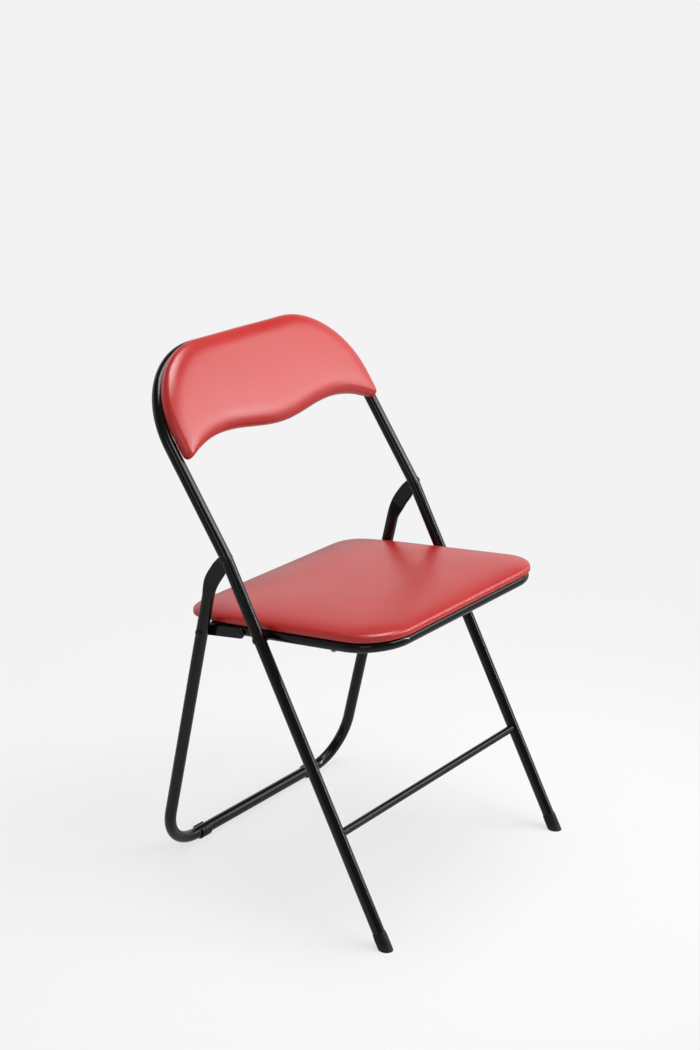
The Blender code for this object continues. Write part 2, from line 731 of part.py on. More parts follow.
def seat_pad():
    """Board, foam and hemmed cover on the seat frame, and the screws up through the tube."""
    screw_top = SEAT_PAD_BASE + COVER_THICK + CLEAR + SCREW_BITE
    head = -SEAT_PAD_BASE
    low = head - SEAT_TUBE_R
    depth = screw_top + CLEAR - low
    rows = {
        "front": SEAT_CORNER_R + SEAT_SCREW_FROM_CORNER - SEAT_FRONT_REACH,
        "rear": SEAT_REAR_REACH - PLUG_DEPTH - SEAT_SCREW_FROM_PLUG,
    }
    drills = []
    for row, back in rows.items():
        for side, sign in SIDES.items():
            x = sign * SEAT_HALF_WIDTH
            middle = (x, back, low + depth / 2)
            drills.append(drill(f"seat_drill_{row}_{side}", SCREW_HOLE_R, depth, middle, SEAT_AXIS))
            screw(f"seat_screw_{row}_{side}", screw_top - head, (x, back, head), (0, 0, 0), SEAT_AXIS)

    def lift(ring):
        return [Vector((p.x, p.y, ring[1])) for p in ring[0]]

    shape = seat_shape()
    layers = pad_layers(shape, SEAT_PAD_BASE, SEAT_EDGE_ROLL, SEAT_ROLL_SHARE, SEAT_CROWN)
    outer, inner, foam, board = layers
    hem = inset(shape[0], SEAT_HEM)
    hem_edge = [(hem, SEAT_PAD_BASE), (hem, SEAT_PAD_BASE + COVER_THICK)]
    cover = loft("seat_cover", [lift(ring) for ring in outer[::-1] + hem_edge + inner])
    finish(cover, RED_VINYL, SEAT_AXIS, drills)
    finish(loft("seat_foam", [lift(ring) for ring in foam]), PALE_FOAM, SEAT_AXIS)
    base = plate("seat_board", board, BOARD_THICK)
    base.location.z = SEAT_PAD_BASE + COVER_THICK + CLEAR + BOARD_THICK / 2
    finish(base, PLYWOOD, SEAT_AXIS, drills)
    return drills


def back_shape():
    """Back pad up the hoop: a round top and a waved lower edge; its middle and its oval."""
    half = HALF_WIDTH - BACK_PAD_INSET
    top = HOOP_LENGTH + BACK_PAD_RISE
    reach = half - BACK_TIP_RUN
    wave = []
    for k in range(BACK_WAVE_STEPS + 1):
        x = reach * (2 * k / BACK_WAVE_STEPS - 1)
        if abs(x) <= BACK_ARCH_X:
            swing = (1 + math.cos(math.pi * x / BACK_ARCH_X)) / 2
            height = BACK_ARCH_HEIGHT + (BACK_MIDDLE_HEIGHT - BACK_ARCH_HEIGHT) * swing
        else:
            share = (abs(x) - BACK_ARCH_X) / (half - BACK_ARCH_X)
            height = BACK_ARCH_HEIGHT + (BACK_TIP_HEIGHT - BACK_ARCH_HEIGHT) * share ** 2
        wave.append(Vector((x, height)))
    side = [Vector((half, BACK_TIP_HEIGHT)), Vector((half, top))]
    corners = wave + side + mirrored(side)
    radii = (*[0] * len(wave), BACK_TIP_R, BACK_PAD_TOP_R, BACK_PAD_TOP_R, BACK_TIP_R)
    middle = Vector((0, (top + BACK_ARCH_HEIGHT) / 2))
    return rounded(corners, radii), middle, Vector((half, top - middle.y))


def tab_places():
    """Name, root on the tube, and turn from +X of each tab, in the plane of the hoop."""
    bite = math.sqrt(TUBE_R ** 2 - (TUBE_R - TAB_THICK) ** 2) + CLEAR
    for side, sign in SIDES.items():
        low_root = Vector((sign * (HALF_WIDTH - bite), TAB_LOW_HEIGHT))
        top_root = Vector((sign * TAB_TOP_X, HOOP_LENGTH - bite))
        yield f"low_{side}", low_root, (sign + 1) * math.pi / 2
        yield f"top_{side}", top_root, -math.pi / 2


def back_pad():
    """Tabs on the hoop, screws through them, and the board, foam and wrapped cover that they hold."""
    upright = (math.pi / 2, 0, 0)
    tab_rear = TUBE_R - TAB_THICK
    screw_top = BACK_PAD_BASE + COVER_THICK + CLEAR + SCREW_BITE
    head = tab_rear - CLEAR
    half = TAB_WIDTH / 2
    blank = [Vector(p) for p in ((0, -half), (TAB_LENGTH, -half), (TAB_LENGTH, half), (0, half))]
    blank = rounded(blank, (0, TAB_CORNER_R, TAB_CORNER_R, 0), step=2 * ARC_STEP)
    drills = []
    for name, root, turn in tab_places():
        place = root + Matrix.Rotation(turn, 2) @ Vector((TAB_LENGTH - TAB_HOLE_FROM_END, 0))
        middle = (place.x, -(screw_top + CLEAR) / 2, place.y)
        hole = drill(f"back_drill_{name}", SCREW_HOLE_R, screw_top + CLEAR, middle, BACK_PLANE, upright)
        drills.append(hole)
        tab = plate(f"back_tab_{name}", [root + Matrix.Rotation(turn, 2) @ p for p in blank], TAB_THICK)
        tab.location.y = TAB_THICK / 2 - TUBE_R
        tab.rotation_euler = upright
        finish(tab, BLACK_ENAMEL, BACK_PLANE, (hole,))
        screw(f"back_screw_{name}", screw_top - head, (place.x, -head, place.y), upright, BACK_PLANE)

    def lift(ring):
        return [Vector((p.x, -ring[1], p.y)) for p in ring[0]]

    layers = pad_layers(back_shape(), BACK_PAD_BASE, BACK_EDGE_ROLL, BACK_ROLL_SHARE, BACK_CROWN)
    outer, inner, foam, board = layers
    hollow = as_cutter(loft("back_cover_hollow", [lift(ring) for ring in inner]))
    hollow.parent = BACK_PLANE
    cover = loft("back_cover", [lift(ring) for ring in outer])
    finish(cover, RED_VINYL, BACK_PLANE, (hollow, *drills))
    finish(loft("back_foam", [lift(ring) for ring in foam]), PALE_FOAM, BACK_PLANE)
    base = plate("back_board", board, BOARD_THICK)
    base.location.y = -(BACK_PAD_BASE + COVER_THICK + CLEAR + BOARD_THICK / 2)
    base.rotation_euler = upright
    finish(base, PLYWOOD, BACK_PLANE, drills)


front_frame()
front_stretcher()
front_foot_caps()
rear_frame()
rear_glides()
pivots()
toggle_links()
seat_frame(seat_pad())
back_pad()
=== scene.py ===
# %% [markdown]
# # A padded folding chair
# Two bent steel frames, a seat on toggle links and two red vinyl pads. The solids of the chair are
# loaded first and stay as the fixed frame. Every step below models one of its pieces again with a
# smoother skin and a real finish, at the same place, and hangs it on the body that it moves with.

# %% Load the frame
import json
import math

import bmesh
import bpy
import numpy as np
from mathutils import Matrix, Vector


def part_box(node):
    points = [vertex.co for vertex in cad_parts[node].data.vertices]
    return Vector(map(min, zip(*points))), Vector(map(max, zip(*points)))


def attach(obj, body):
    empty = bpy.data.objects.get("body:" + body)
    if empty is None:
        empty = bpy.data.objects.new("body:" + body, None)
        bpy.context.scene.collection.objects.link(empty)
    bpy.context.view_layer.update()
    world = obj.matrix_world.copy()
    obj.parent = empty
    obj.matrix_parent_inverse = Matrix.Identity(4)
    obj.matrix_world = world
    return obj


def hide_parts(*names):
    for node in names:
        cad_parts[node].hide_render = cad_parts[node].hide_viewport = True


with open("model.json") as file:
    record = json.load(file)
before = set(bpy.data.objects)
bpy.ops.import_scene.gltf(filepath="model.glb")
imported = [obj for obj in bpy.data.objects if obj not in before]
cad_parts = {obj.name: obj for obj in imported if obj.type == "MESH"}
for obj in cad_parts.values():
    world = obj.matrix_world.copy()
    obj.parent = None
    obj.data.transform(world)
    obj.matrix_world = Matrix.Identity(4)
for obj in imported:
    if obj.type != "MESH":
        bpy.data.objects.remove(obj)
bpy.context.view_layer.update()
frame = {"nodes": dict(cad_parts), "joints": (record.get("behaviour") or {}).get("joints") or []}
joints = {joint["name"]: Vector(joint["pos_m"]) for joint in frame["joints"]}

# %% [markdown]
# ## The camera
# The photograph looks down a little from the front and the sitter's right. The eye, the point it
# looks at and the lens were found from the feet, the elbows and the hoop of the frame. The lens
# counts the long side of the picture as 36 mm of film.

# %% Camera
EYE = Vector((-2.1064, -1.6121, 1.4369))
LOOK_AT = Vector((-0.3087, -0.2285, 0.6575))
LENS_MM = 64.78
FARTHEST = 100

bpy.ops.object.select_all(action="DESELECT")
bpy.ops.object.camera_add(location=EYE, rotation=(LOOK_AT - EYE).to_track_quat("-Z", "Y").to_euler())
camera = bpy.context.object
camera.data.lens = LENS_MM
camera.data.clip_end = FARTHEST
bpy.context.scene.camera = camera
bpy.context.scene.view_settings.view_transform = "Standard"
print("camera", (LOOK_AT - EYE).length, "m from what it looks at")

# %% [markdown]
# ## Small helpers for nodes
# A material is a tree of nodes. Building one by hand means adding a node, setting a few values and
# drawing noodles, so two short helpers do just that and keep the material cells readable. A third
# one tells what the eye sees, straight or mirrored, from light that only falls on something.


# %% Node helpers
def add_node(tree, kind, values=None, **settings):
    """Add a shader node, set its properties and the values of its input sockets."""
    node = tree.nodes.new("ShaderNode" + kind)
    for name, setting in settings.items():
        setattr(node, name, setting)
    for socket, value in (values or {}).items():
        node.inputs[socket].default_value = value
    return node


def join(tree, *noodles):
    """Draw noodles, each from a socket of one node to a socket of another."""
    for node, output, other, socket in noodles:
        tree.links.new(node.outputs[output], other.inputs[socket])


def light_path_seen(tree):
    """A node with 1 for what the camera sees straight, mirrored or through glass, and 0 for soft light."""
    path = add_node(tree, "LightPath")
    straight = add_node(tree, "Math", operation="MAXIMUM")
    seen = add_node(tree, "Math", operation="MAXIMUM")
    join(
        tree,
        (path, "Is Camera Ray", straight, 0),
        (path, "Is Glossy Ray", straight, 1),
        (straight, 0, seen, 0),
        (path, "Is Transmission Ray", seen, 1),
    )
    return seen


# %% [markdown]
# ## Backdrop and floor
# The chair was photographed on a pale paper sweep that reads as one even tone. The world shows that
# tone to the camera and to reflections, and gives a calmer level of soft light. Reflections of the
# room in front of the sweep and of the ceiling above it are dimmer, which keeps the black tubes black
# and the shoulders of the pads red. The floor is the same paper, and it too is dimmer in reflections.
# Near the chair it takes light and shadow, and what is missing to the even tone is added. Further out
# only the even tone is left, so no horizon shows.

# %% World
PALE = (0.896, 0.896, 0.896, 1.0)
SOFT_LIGHT = 0.32
ROOM = 0.16
SWEEP_HEADING = (0.79, 0.61, 0.0)
SWEEP_EDGE = 0.4
SWEEP_TOP = 0.40
CEILING_FROM = 0.54

world = bpy.data.worlds.new("pale_studio")
world.use_nodes = True
tree = world.node_tree
tree.nodes.clear()
shown = add_node(tree, "Background", {"Color": PALE})
soft = add_node(tree, "Background", {"Color": (1, 1, 1, 1), "Strength": SOFT_LIGHT})
heading = add_node(tree, "TexCoord")
sweep = add_node(tree, "VectorMath", {1: SWEEP_HEADING}, operation="DOT_PRODUCT")
room = add_node(tree, "MapRange", {"From Min": -SWEEP_EDGE, "From Max": SWEEP_EDGE, "To Min": ROOM})
rise = add_node(tree, "SeparateXYZ")
ceiling = add_node(
    tree, "MapRange", {"From Min": SWEEP_TOP, "From Max": CEILING_FROM, "To Min": 1.0, "To Max": ROOM}
)
mirrored = add_node(tree, "Math", operation="MINIMUM")
path = add_node(tree, "LightPath")
level = add_node(tree, "Math", operation="MAXIMUM")
mix = add_node(tree, "MixShader")
out = add_node(tree, "OutputWorld")
join(
    tree,
    (heading, "Generated", sweep, 0),
    (sweep, "Value", room, "Value"),
    (heading, "Generated", rise, 0),
    (rise, "Z", ceiling, "Value"),
    (room, "Result", mirrored, 0),
    (ceiling, "Result", mirrored, 1),
    (mirrored, 0, level, 0),
    (path, "Is Camera Ray", level, 1),
    (level, 0, shown, "Strength"),
    (light_path_seen(tree), 0, mix, "Fac"),
    (soft, 0, mix, 1),
    (shown, 0, mix, 2),
    (mix, 0, out, "Surface"),
)
bpy.context.scene.world = world
print("world", world.name)

# %% Floor
FLOOR_SIZE = 60.0
SHADOW_REACH = 1.6
SHADOW_FULL = 0.5
SHADOW_SHARE = 0.30
PAPER = (0.84, 0.84, 0.84, 1.0)
LIT_PAPER = (0.77, 0.77, 0.77, 1.0)
BLACK = (0.0, 0.0, 0.0, 1.0)
MIRRORED_FLOOR = 0.5

paper = bpy.data.materials.new("paper_floor")
paper.use_nodes = True
tree = paper.node_tree
tree.nodes.clear()
place = add_node(tree, "TexCoord")
spread = add_node(tree, "Mapping", {"Scale": (1 / SHADOW_REACH,) * 3})
fade = add_node(tree, "TexGradient", gradient_type="QUADRATIC_SPHERE")
near = add_node(
    tree, "MapRange", {"From Max": SHADOW_FULL, "To Max": SHADOW_SHARE}, interpolation_type="SMOOTHSTEP"
)
catch = add_node(tree, "Mix", {"A": BLACK, "B": PAPER}, data_type="RGBA")
missing = tuple(pale - lit for pale, lit in zip(PALE, LIT_PAPER))
rest = add_node(tree, "Mix", {"A": PALE, "B": missing}, data_type="RGBA")
lit = add_node(tree, "BsdfDiffuse", {"Color": PAPER})
caught = add_node(tree, "BsdfDiffuse")
even = add_node(tree, "Emission")
path = add_node(tree, "LightPath")
level = add_node(tree, "Math", {1: MIRRORED_FLOOR}, operation="MAXIMUM")
shown = add_node(tree, "AddShader")
both = add_node(tree, "MixShader")
out = add_node(tree, "OutputMaterial")
join(
    tree,
    (place, "Object", spread, "Vector"),
    (spread, 0, fade, "Vector"),
    (fade, "Fac", near, "Value"),
    (near, "Result", catch, "Factor"),
    (near, "Result", rest, "Factor"),
    (catch, "Result", caught, "Color"),
    (rest, "Result", even, "Color"),
    (path, "Is Camera Ray", level, 0),
    (level, 0, even, "Strength"),
    (caught, 0, shown, 0),
    (even, 0, shown, 1),
    (light_path_seen(tree), 0, both, "Fac"),
    (lit, 0, both, 1),
    (shown, 0, both, 2),
    (both, 0, out, "Surface"),
)

bpy.ops.mesh.primitive_plane_add(size=FLOOR_SIZE)
floor = bpy.context.object
floor.name = "paper_floor"
floor.data.materials.append(paper)
print("floor", floor.dimensions[:])

# %% [markdown]
# ## Lamps
# One wide soft box stands to the right of the camera, low enough to mirror itself in the back pad.
# A narrow strip beside it draws the white line down the right of every tube. One box above the
# camera shines in the left shoulder of the back pad, one hangs overhead for the seat, and a weak one
# on the left keeps the near leg from going flat.

# %% Soft boxes
CHAIR_MIDDLE = Vector((0, 0, 0.45))
SOFT_BOXES = {
    "right": (Vector((0.75, -0.50, 0.50)), 4.2, (1.9, 1.9), 28),
    "strip": (Vector((0.61, -0.79, 0.42)), 4.2, (0.26, 2.6), 50),
    "front": (Vector((0.20, -0.72, 0.64)), 3.8, (2.2, 1.3), 40),
    "top": (Vector((0.10, -0.02, 1.00)), 3.2, (1.7, 1.7), 61),
    "left": (Vector((-0.95, -0.35, 0.45)), 4.0, (1.6, 1.6), 9),
}

for name, (direction, distance, size, watts) in SOFT_BOXES.items():
    spot = CHAIR_MIDDLE + distance * direction.normalized()
    aim = (CHAIR_MIDDLE - spot).to_track_quat("-Z", "Y").to_euler()
    bpy.ops.object.light_add(type="AREA", location=spot, rotation=aim)
    lamp = bpy.context.object
    lamp.name = "soft_box_" + name
    lamp.data.shape = "RECTANGLE"
    lamp.data.size, lamp.data.size_y = size
    lamp.data.energy = watts
    print(lamp.name, watts, "W at", spot[:])

# %% [markdown]
# ## Two shared surface effects
# No surface on a used chair is quite even. *Fine grain* gives small bumps of one size with slower
# waves over them, and *handling* gives broad patches where hands and floors have dulled a finish.
# Both are node groups, so that each material sets its own scale.


# %% Node groups
def new_group(name, inputs, outputs):
    """A shader node group with number or vector sockets, and its two end nodes."""
    tree = bpy.data.node_groups.new(name, "ShaderNodeTree")
    for socket, kind, value in inputs:
        made = tree.interface.new_socket(socket, in_out="INPUT", socket_type="NodeSocket" + kind)
        if value is not None:
            made.default_value = value
    for socket in outputs:
        tree.interface.new_socket(socket, in_out="OUTPUT", socket_type="NodeSocketFloat")
    return tree, tree.nodes.new("NodeGroupInput"), tree.nodes.new("NodeGroupOutput")


SLOW_WAVES = 0.17

fine_grain, grain_in, grain_out = new_group(
    "fine_grain",
    [("Vector", "Vector", None), ("Scale", "Float", 600.0), ("Waviness", "Float", 0.4)],
    ["Height", "Valleys"],
)
cells = add_node(fine_grain, "TexVoronoi", feature="F1")
waves = add_node(fine_grain, "TexNoise", {"Detail": 3.0})
slower = add_node(fine_grain, "Math", {1: SLOW_WAVES}, operation="MULTIPLY")
blend = add_node(fine_grain, "Mix", data_type="FLOAT")
valleys = add_node(fine_grain, "MapRange", {"From Min": 0.35, "From Max": 0.75})
join(
    fine_grain,
    (grain_in, "Vector", cells, "Vector"),
    (grain_in, "Vector", waves, "Vector"),
    (grain_in, "Scale", cells, "Scale"),
    (grain_in, "Scale", slower, 0),
    (slower, 0, waves, "Scale"),
    (grain_in, "Waviness", blend, "Factor"),
    (cells, "Distance", blend, "A"),
    (waves, "Fac", blend, "B"),
    (cells, "Distance", valleys, "Value"),
    (blend, "Result", grain_out, "Height"),
    (valleys, "Result", grain_out, "Valleys"),
)

handling, hand_in, hand_out = new_group(
    "handling",
    [("Vector", "Vector", None), ("Scale", "Float", 9.0), ("Low", "Float", 0.2), ("High", "Float", 0.4)],
    ["Value", "Patches"],
)
patch = add_node(handling, "TexNoise", {"Detail": 5.0, "Roughness": 0.6})
spread = add_node(handling, "MapRange", {"From Min": 0.3, "From Max": 0.7})
join(
    handling,
    (hand_in, "Vector", patch, "Vector"),
    (hand_in, "Scale", patch, "Scale"),
    (patch, "Fac", spread, "Value"),
    (hand_in, "Low", spread, "To Min"),
    (hand_in, "High", spread, "To Max"),
    (spread, "Result", hand_out, "Value"),
    (patch, "Fac", hand_out, "Patches"),
)
print("groups", fine_grain.name, handling.name)

# %% [markdown]
# ## Finishes
# Each finish starts the same way: Object coordinates feed the grain and the handling patches, the
# grain makes the bump, and the patches swing the roughness between two values and the colour
# between two shades. What differs is the scale and depth, so one helper lays out the tree and each
# finish then adds what is its own.


# %% Finish helper
def new_finish(name, shades, grain, bump, roughness, own=None, patch_scale=9.0):
    """A Principled material with grain, bump, two shades and a roughness that drifts."""
    material = bpy.data.materials.new(name)
    material.use_nodes = True
    tree = material.node_tree
    shader = tree.nodes["Principled BSDF"]
    for socket, value in (own or {}).items():
        shader.inputs[socket].default_value = value
    patches = {"Scale": patch_scale, "Low": roughness[0], "High": roughness[1]}
    two_shades = {"A": (*shades[0], 1), "B": (*shades[1], 1)}
    place = add_node(tree, "TexCoord", name="place")
    skin = add_node(tree, "Group", node_tree=fine_grain, name="skin")
    skin.inputs["Scale"].default_value, skin.inputs["Waviness"].default_value = grain
    wear = add_node(tree, "Group", patches, node_tree=handling)
    relief = add_node(tree, "Bump", {"Strength": bump[0], "Distance": bump[1]})
    shade = add_node(tree, "Mix", two_shades, data_type="RGBA", name="shade")
    join(
        tree,
        (place, "Object", skin, "Vector"),
        (place, "Object", wear, "Vector"),
        (skin, "Height", relief, "Height"),
        (relief, "Normal", shader, "Normal"),
        (wear, "Value", shader, "Roughness"),
        (wear, "Patches", shade, "Factor"),
        (shade, "Result", shader, "Base Color"),
    )
    return material


def lay_over(material, shade, mask, socket):
    """Lay one more shade over a finish, where a socket of a mask node says so."""
    tree = material.node_tree
    over = add_node(tree, "Mix", {"B": (*shade, 1)}, data_type="RGBA")
    join(
        tree,
        (mask, socket, over, "Factor"),
        (tree.nodes["shade"], "Result", over, "A"),
        (over, "Result", tree.nodes["Principled BSDF"], "Base Color"),
    )


# %% [markdown]
# The **vinyl** is a supported film with a fine leather grain and a soft gloss. The valleys of the
# grain hold a darker red. The **enamel** on the tubes is a baked black gloss with a slight orange
# peel.

# %% Vinyl and enamel
VALLEY_RED = (0.38, 0.007, 0.008)
VALLEY_SHARE = 0.35

red_vinyl = new_finish(
    "red_vinyl_grain", ((0.45, 0.011, 0.008), (0.53, 0.016, 0.011)),
    grain=(760, 0.35), bump=(0.20, 0.0004), roughness=(0.29, 0.38), own={"IOR": 1.7},
)
tree = red_vinyl.node_tree
depth = add_node(tree, "Math", {1: VALLEY_SHARE}, operation="MULTIPLY")
join(tree, (tree.nodes["skin"], "Valleys", depth, 0))
lay_over(red_vinyl, VALLEY_RED, depth, 0)

black_enamel = new_finish(
    "black_enamel_gloss", ((0.0012,) * 3, (0.0035,) * 3),
    grain=(330, 0.75), bump=(0.04, 0.0003), roughness=(0.10, 0.16), own={"Specular IOR Level": 0.38},
)
print("finishes", red_vinyl.name, black_enamel.name)

# %% [markdown]
# The **rubber** caps and the **nylon** clips stand on the floor, so their lower ends carry a little
# grey dust. A Separate XYZ node reads the height, and a Map Range turns the lowest centimetre into
# a mask, through which the grey is laid over the black.

# %% Rubber and nylon
MOULDED_BLACK = ((0.003,) * 3, (0.007,) * 3)
MOULDED_SHINE = {"Specular IOR Level": 0.25}
DUST = (0.08, 0.077, 0.073)
DUST_SHARE = 0.25


def dust_near_floor(material, top):
    """Grey a finish towards the floor."""
    tree = material.node_tree
    height = add_node(tree, "SeparateXYZ")
    low = add_node(tree, "MapRange", {"From Max": top, "To Min": DUST_SHARE, "To Max": 0.0})
    join(tree, (tree.nodes["place"], "Object", height, 0), (height, "Z", low, "Value"))
    lay_over(material, DUST, low, "Result")


black_rubber = new_finish(
    "black_rubber_moulded", MOULDED_BLACK,
    grain=(1500, 0.5), bump=(0.20, 0.0002), roughness=(0.40, 0.55), own=MOULDED_SHINE,
)
dust_near_floor(black_rubber, top=0.012)
black_nylon = new_finish(
    "black_nylon_moulded", MOULDED_BLACK,
    grain=(1100, 0.6), bump=(0.10, 0.0002), roughness=(0.30, 0.42), own=MOULDED_SHINE,
)
dust_near_floor(black_nylon, top=0.007)
print("finishes", black_rubber.name, black_nylon.name)

# %% [markdown]
# **Zinc plate** on the screws is a dull bluish metal. The raw **plywood** under the seat is pale
# brown, with darker wood fibres that a stretched noise draws.

# %% Zinc and plywood
FIBRE_BROWN = (0.29, 0.18, 0.09)
FIBRE_STRETCH = (60, 420, 420)

zinc_plate = new_finish(
    "zinc_plate", ((0.48, 0.49, 0.52), (0.60, 0.61, 0.62)),
    grain=(900, 0.8), bump=(0.08, 0.0002), roughness=(0.28, 0.44), own={"Metallic": 1.0}, patch_scale=160,
)
plywood = new_finish(
    "plywood_raw", ((0.42, 0.28, 0.15), (0.52, 0.36, 0.20)),
    grain=(420, 0.6), bump=(0.25, 0.0004), roughness=(0.7, 0.85), patch_scale=40,
)
tree = plywood.node_tree
stretch = add_node(tree, "Mapping", {"Scale": FIBRE_STRETCH})
fibres = add_node(tree, "TexNoise", {"Scale": 1.0, "Detail": 4.0})
thin = add_node(tree, "MapRange", {"From Min": 0.55, "From Max": 0.8})
join(
    tree,
    (tree.nodes["place"], "Object", stretch, "Vector"),
    (stretch, 0, fibres, "Vector"),
    (fibres, "Fac", thin, "Value"),
)
lay_over(plywood, FIBRE_BROWN, thin, "Result")
for board in ("seat_board", "back_board"):
    frame["nodes"][board].data.materials.clear()
    frame["nodes"][board].data.materials.append(plywood)
print("finishes", zinc_plate.name, plywood.name)

# %% [markdown]
# ## Bending tube
# A maker cuts a straight tube and bends it round a former, one corner after another. Blender can do
# the same: a ring of edges is extruded along a straight run and spun round the centre of each bend.
# A curve with a round bevel would be shorter, but spinning gives even rings that can be pressed
# flat later. The corners are where the straight runs would meet.

# %% Tube helper
TUBE_SIDES = 40
BEND_STEP = math.radians(2.5)
SMOOTH_ANGLE = math.radians(40)
MERGE = 0.000002


def deselect():
    bpy.ops.object.select_all(action="DESELECT")


def keep_place():
    """Move the place and the turn of the new piece into its mesh."""
    bpy.ops.object.transform_apply(location=True, rotation=True, scale=True)


def start_edit():
    bpy.ops.object.mode_set(mode="EDIT")
    bpy.ops.mesh.select_all(action="SELECT")


def open_mesh():
    """The mesh that is being edited, for what is selected or moved by its place."""
    return bmesh.from_edit_mesh(bpy.context.object.data)


def extrude(step):
    bpy.ops.mesh.extrude_region_move(TRANSFORM_OT_translate={"value": step})


def close_edit():
    """Fill what is open, turn every face outwards and leave edit mode with smooth shading."""
    bpy.ops.mesh.select_all(action="SELECT")
    bpy.ops.mesh.remove_doubles(threshold=MERGE)
    bpy.ops.mesh.fill_holes(sides=0)
    bpy.ops.mesh.normals_make_consistent(inside=False)
    bpy.ops.object.mode_set(mode="OBJECT")
    bpy.ops.object.shade_smooth_by_angle(angle=SMOOTH_ANGLE)
    return bpy.context.object


def bend_tube(radius, corners, bends):
    """A tube along straight runs with a bend of its own radius at each inner corner."""
    heading = (corners[1] - corners[0]).normalized()
    deselect()
    bpy.ops.mesh.primitive_circle_add(
        vertices=TUBE_SIDES, radius=radius, location=corners[0],
        rotation=heading.to_track_quat("Z", "X").to_euler(),
    )
    keep_place()
    start_edit()
    tip = corners[0]
    for corner, bend, beyond in zip(corners[1:], bends, corners[2:]):
        away = (beyond - corner).normalized()
        turn = heading.angle(away)
        reach = bend * math.tan(turn / 2)
        extrude(corner - reach * heading - tip)
        if bend > 0:
            side = (away - heading * heading.dot(away)).normalized()
            centre = corner - reach * heading + bend * side
            steps = max(2, math.ceil(turn / BEND_STEP))
            bpy.ops.mesh.spin(steps=steps, angle=turn, center=centre, axis=side.cross(heading))
        tip = corner + reach * away
        heading = away
    extrude(corners[-1] - tip)


# %% [markdown]
# Every finished piece gets its name, its finish, the body that it rides on and the solids that it
# stands for. One helper does it for all of them.


def hand_over(obj, name, finish, body, *solids):
    """Name a piece, give it its finish and hang it on its body in place of its solids."""
    obj.name = name
    obj.data.name = name
    obj.data.materials.clear()
    obj.data.materials.append(finish)
    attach(obj, body)
    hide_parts(*solids)
    print(name, "on", body, len(obj.data.polygons), "faces")


# %% [markdown]
# ## The front frame
# One long tube goes up the left leg, bends back a little at the elbow, runs round the hoop over the
# back pad and comes down the right leg. All its places follow from the elbow hinge, the lean of the
# hoop and the width of the chair.

# %% Front frame
TUBE_R = 0.009
ELBOW_BACK = 0.284
ELBOW_BEND_R = 0.080
HOOP_LENGTH = 0.3104
HOOP_LEAN = math.radians(34.77)
HOOP_CORNER_R = 0.134
CAP_SOLE = 0.004

elbow = joints["rear_fold"]
half_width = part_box("front_frame_tube")[1].x - TUBE_R
leg_lean = math.atan2(ELBOW_BACK, elbow.z)
leg_up = Vector((0, math.sin(leg_lean), math.cos(leg_lean)))
hoop_up = Vector((0, math.sin(HOOP_LEAN), math.cos(HOOP_LEAN)))
foot = elbow - elbow.z / leg_up.z * leg_up
leg_end = foot + (CAP_SOLE + TUBE_R * leg_up.y) / leg_up.z * leg_up
hoop_top = elbow + HOOP_LENGTH * hoop_up


def with_mirror_image(points):
    """The points of one side, then the same of the other side in reverse order."""
    images = [point.copy() for point in reversed(points)]
    for image in images:
        image.x = -image.x
    return points + images


def both_sides(x, places):
    """Places at x on the left side, and then on the right side in reverse order."""
    return with_mirror_image([Vector((x, p.y, p.z)) for p in places])


bend_tube(
    TUBE_R,
    both_sides(half_width, [leg_end, elbow, hoop_top]),
    [ELBOW_BEND_R, HOOP_CORNER_R, HOOP_CORNER_R, ELBOW_BEND_R],
)
front_frame_skin = close_edit()
hand_over(front_frame_skin, "front_frame_skin", black_enamel, "front_frame", "front_frame_tube")

# %% [markdown]
# ## The stretcher
# A thinner tube is welded between the front legs. Its ends run into the legs, where the weld is flush
# under the enamel.

# %% Stretcher
STRETCHER_R = 0.006
STRETCHER_HEIGHT = 0.154
WELD_DEPTH = 0.0015

stretcher_at = foot + STRETCHER_HEIGHT / leg_up.z * leg_up
weld_x = half_width - TUBE_R + WELD_DEPTH
run = [Vector((x, stretcher_at.y, stretcher_at.z)) for x in (half_width, weld_x, -weld_x, -half_width)]
bend_tube(STRETCHER_R, run, [0, 0])
hand_over(close_edit(), "front_stretcher_skin", black_enamel, "front_frame", "front_stretcher")

# %% [markdown]
# ## The rear frame
# The rear tube makes a U on the floor. Its leg tops bend forward, and each end is pressed flat into
# a tongue with a round tip that turns on the elbow rivet. The tube is bent first. Then the rings
# near each end are squeezed: thinner across the chair, wider along it, with squarer edges, and
# shifted into line with the leg. The tip is narrower, so that it stays inside the leg.

# %% Rear frame, bent
TONGUE_WIDTH = 0.025
TONGUE_TIP_WIDTH = 0.015
TONGUE_TIP_TURNS = (86, 76, 64, 50, 34, 17)
TONGUE_TAPER = 0.018
TONGUE_THICK = 0.0031
TONGUE_FLAT = 0.050
TONGUE_SWELL = 0.035
TONGUE_SQUARENESS = 0.4
TONGUE_LEAN = math.radians(36)
TONGUE_REACH = 0.0578
REAR_BEND_R = 0.100
REAR_LEAN = math.radians(13.3)
REAR_CORNER_R = 0.075
BAR_HEIGHT = 0.0115

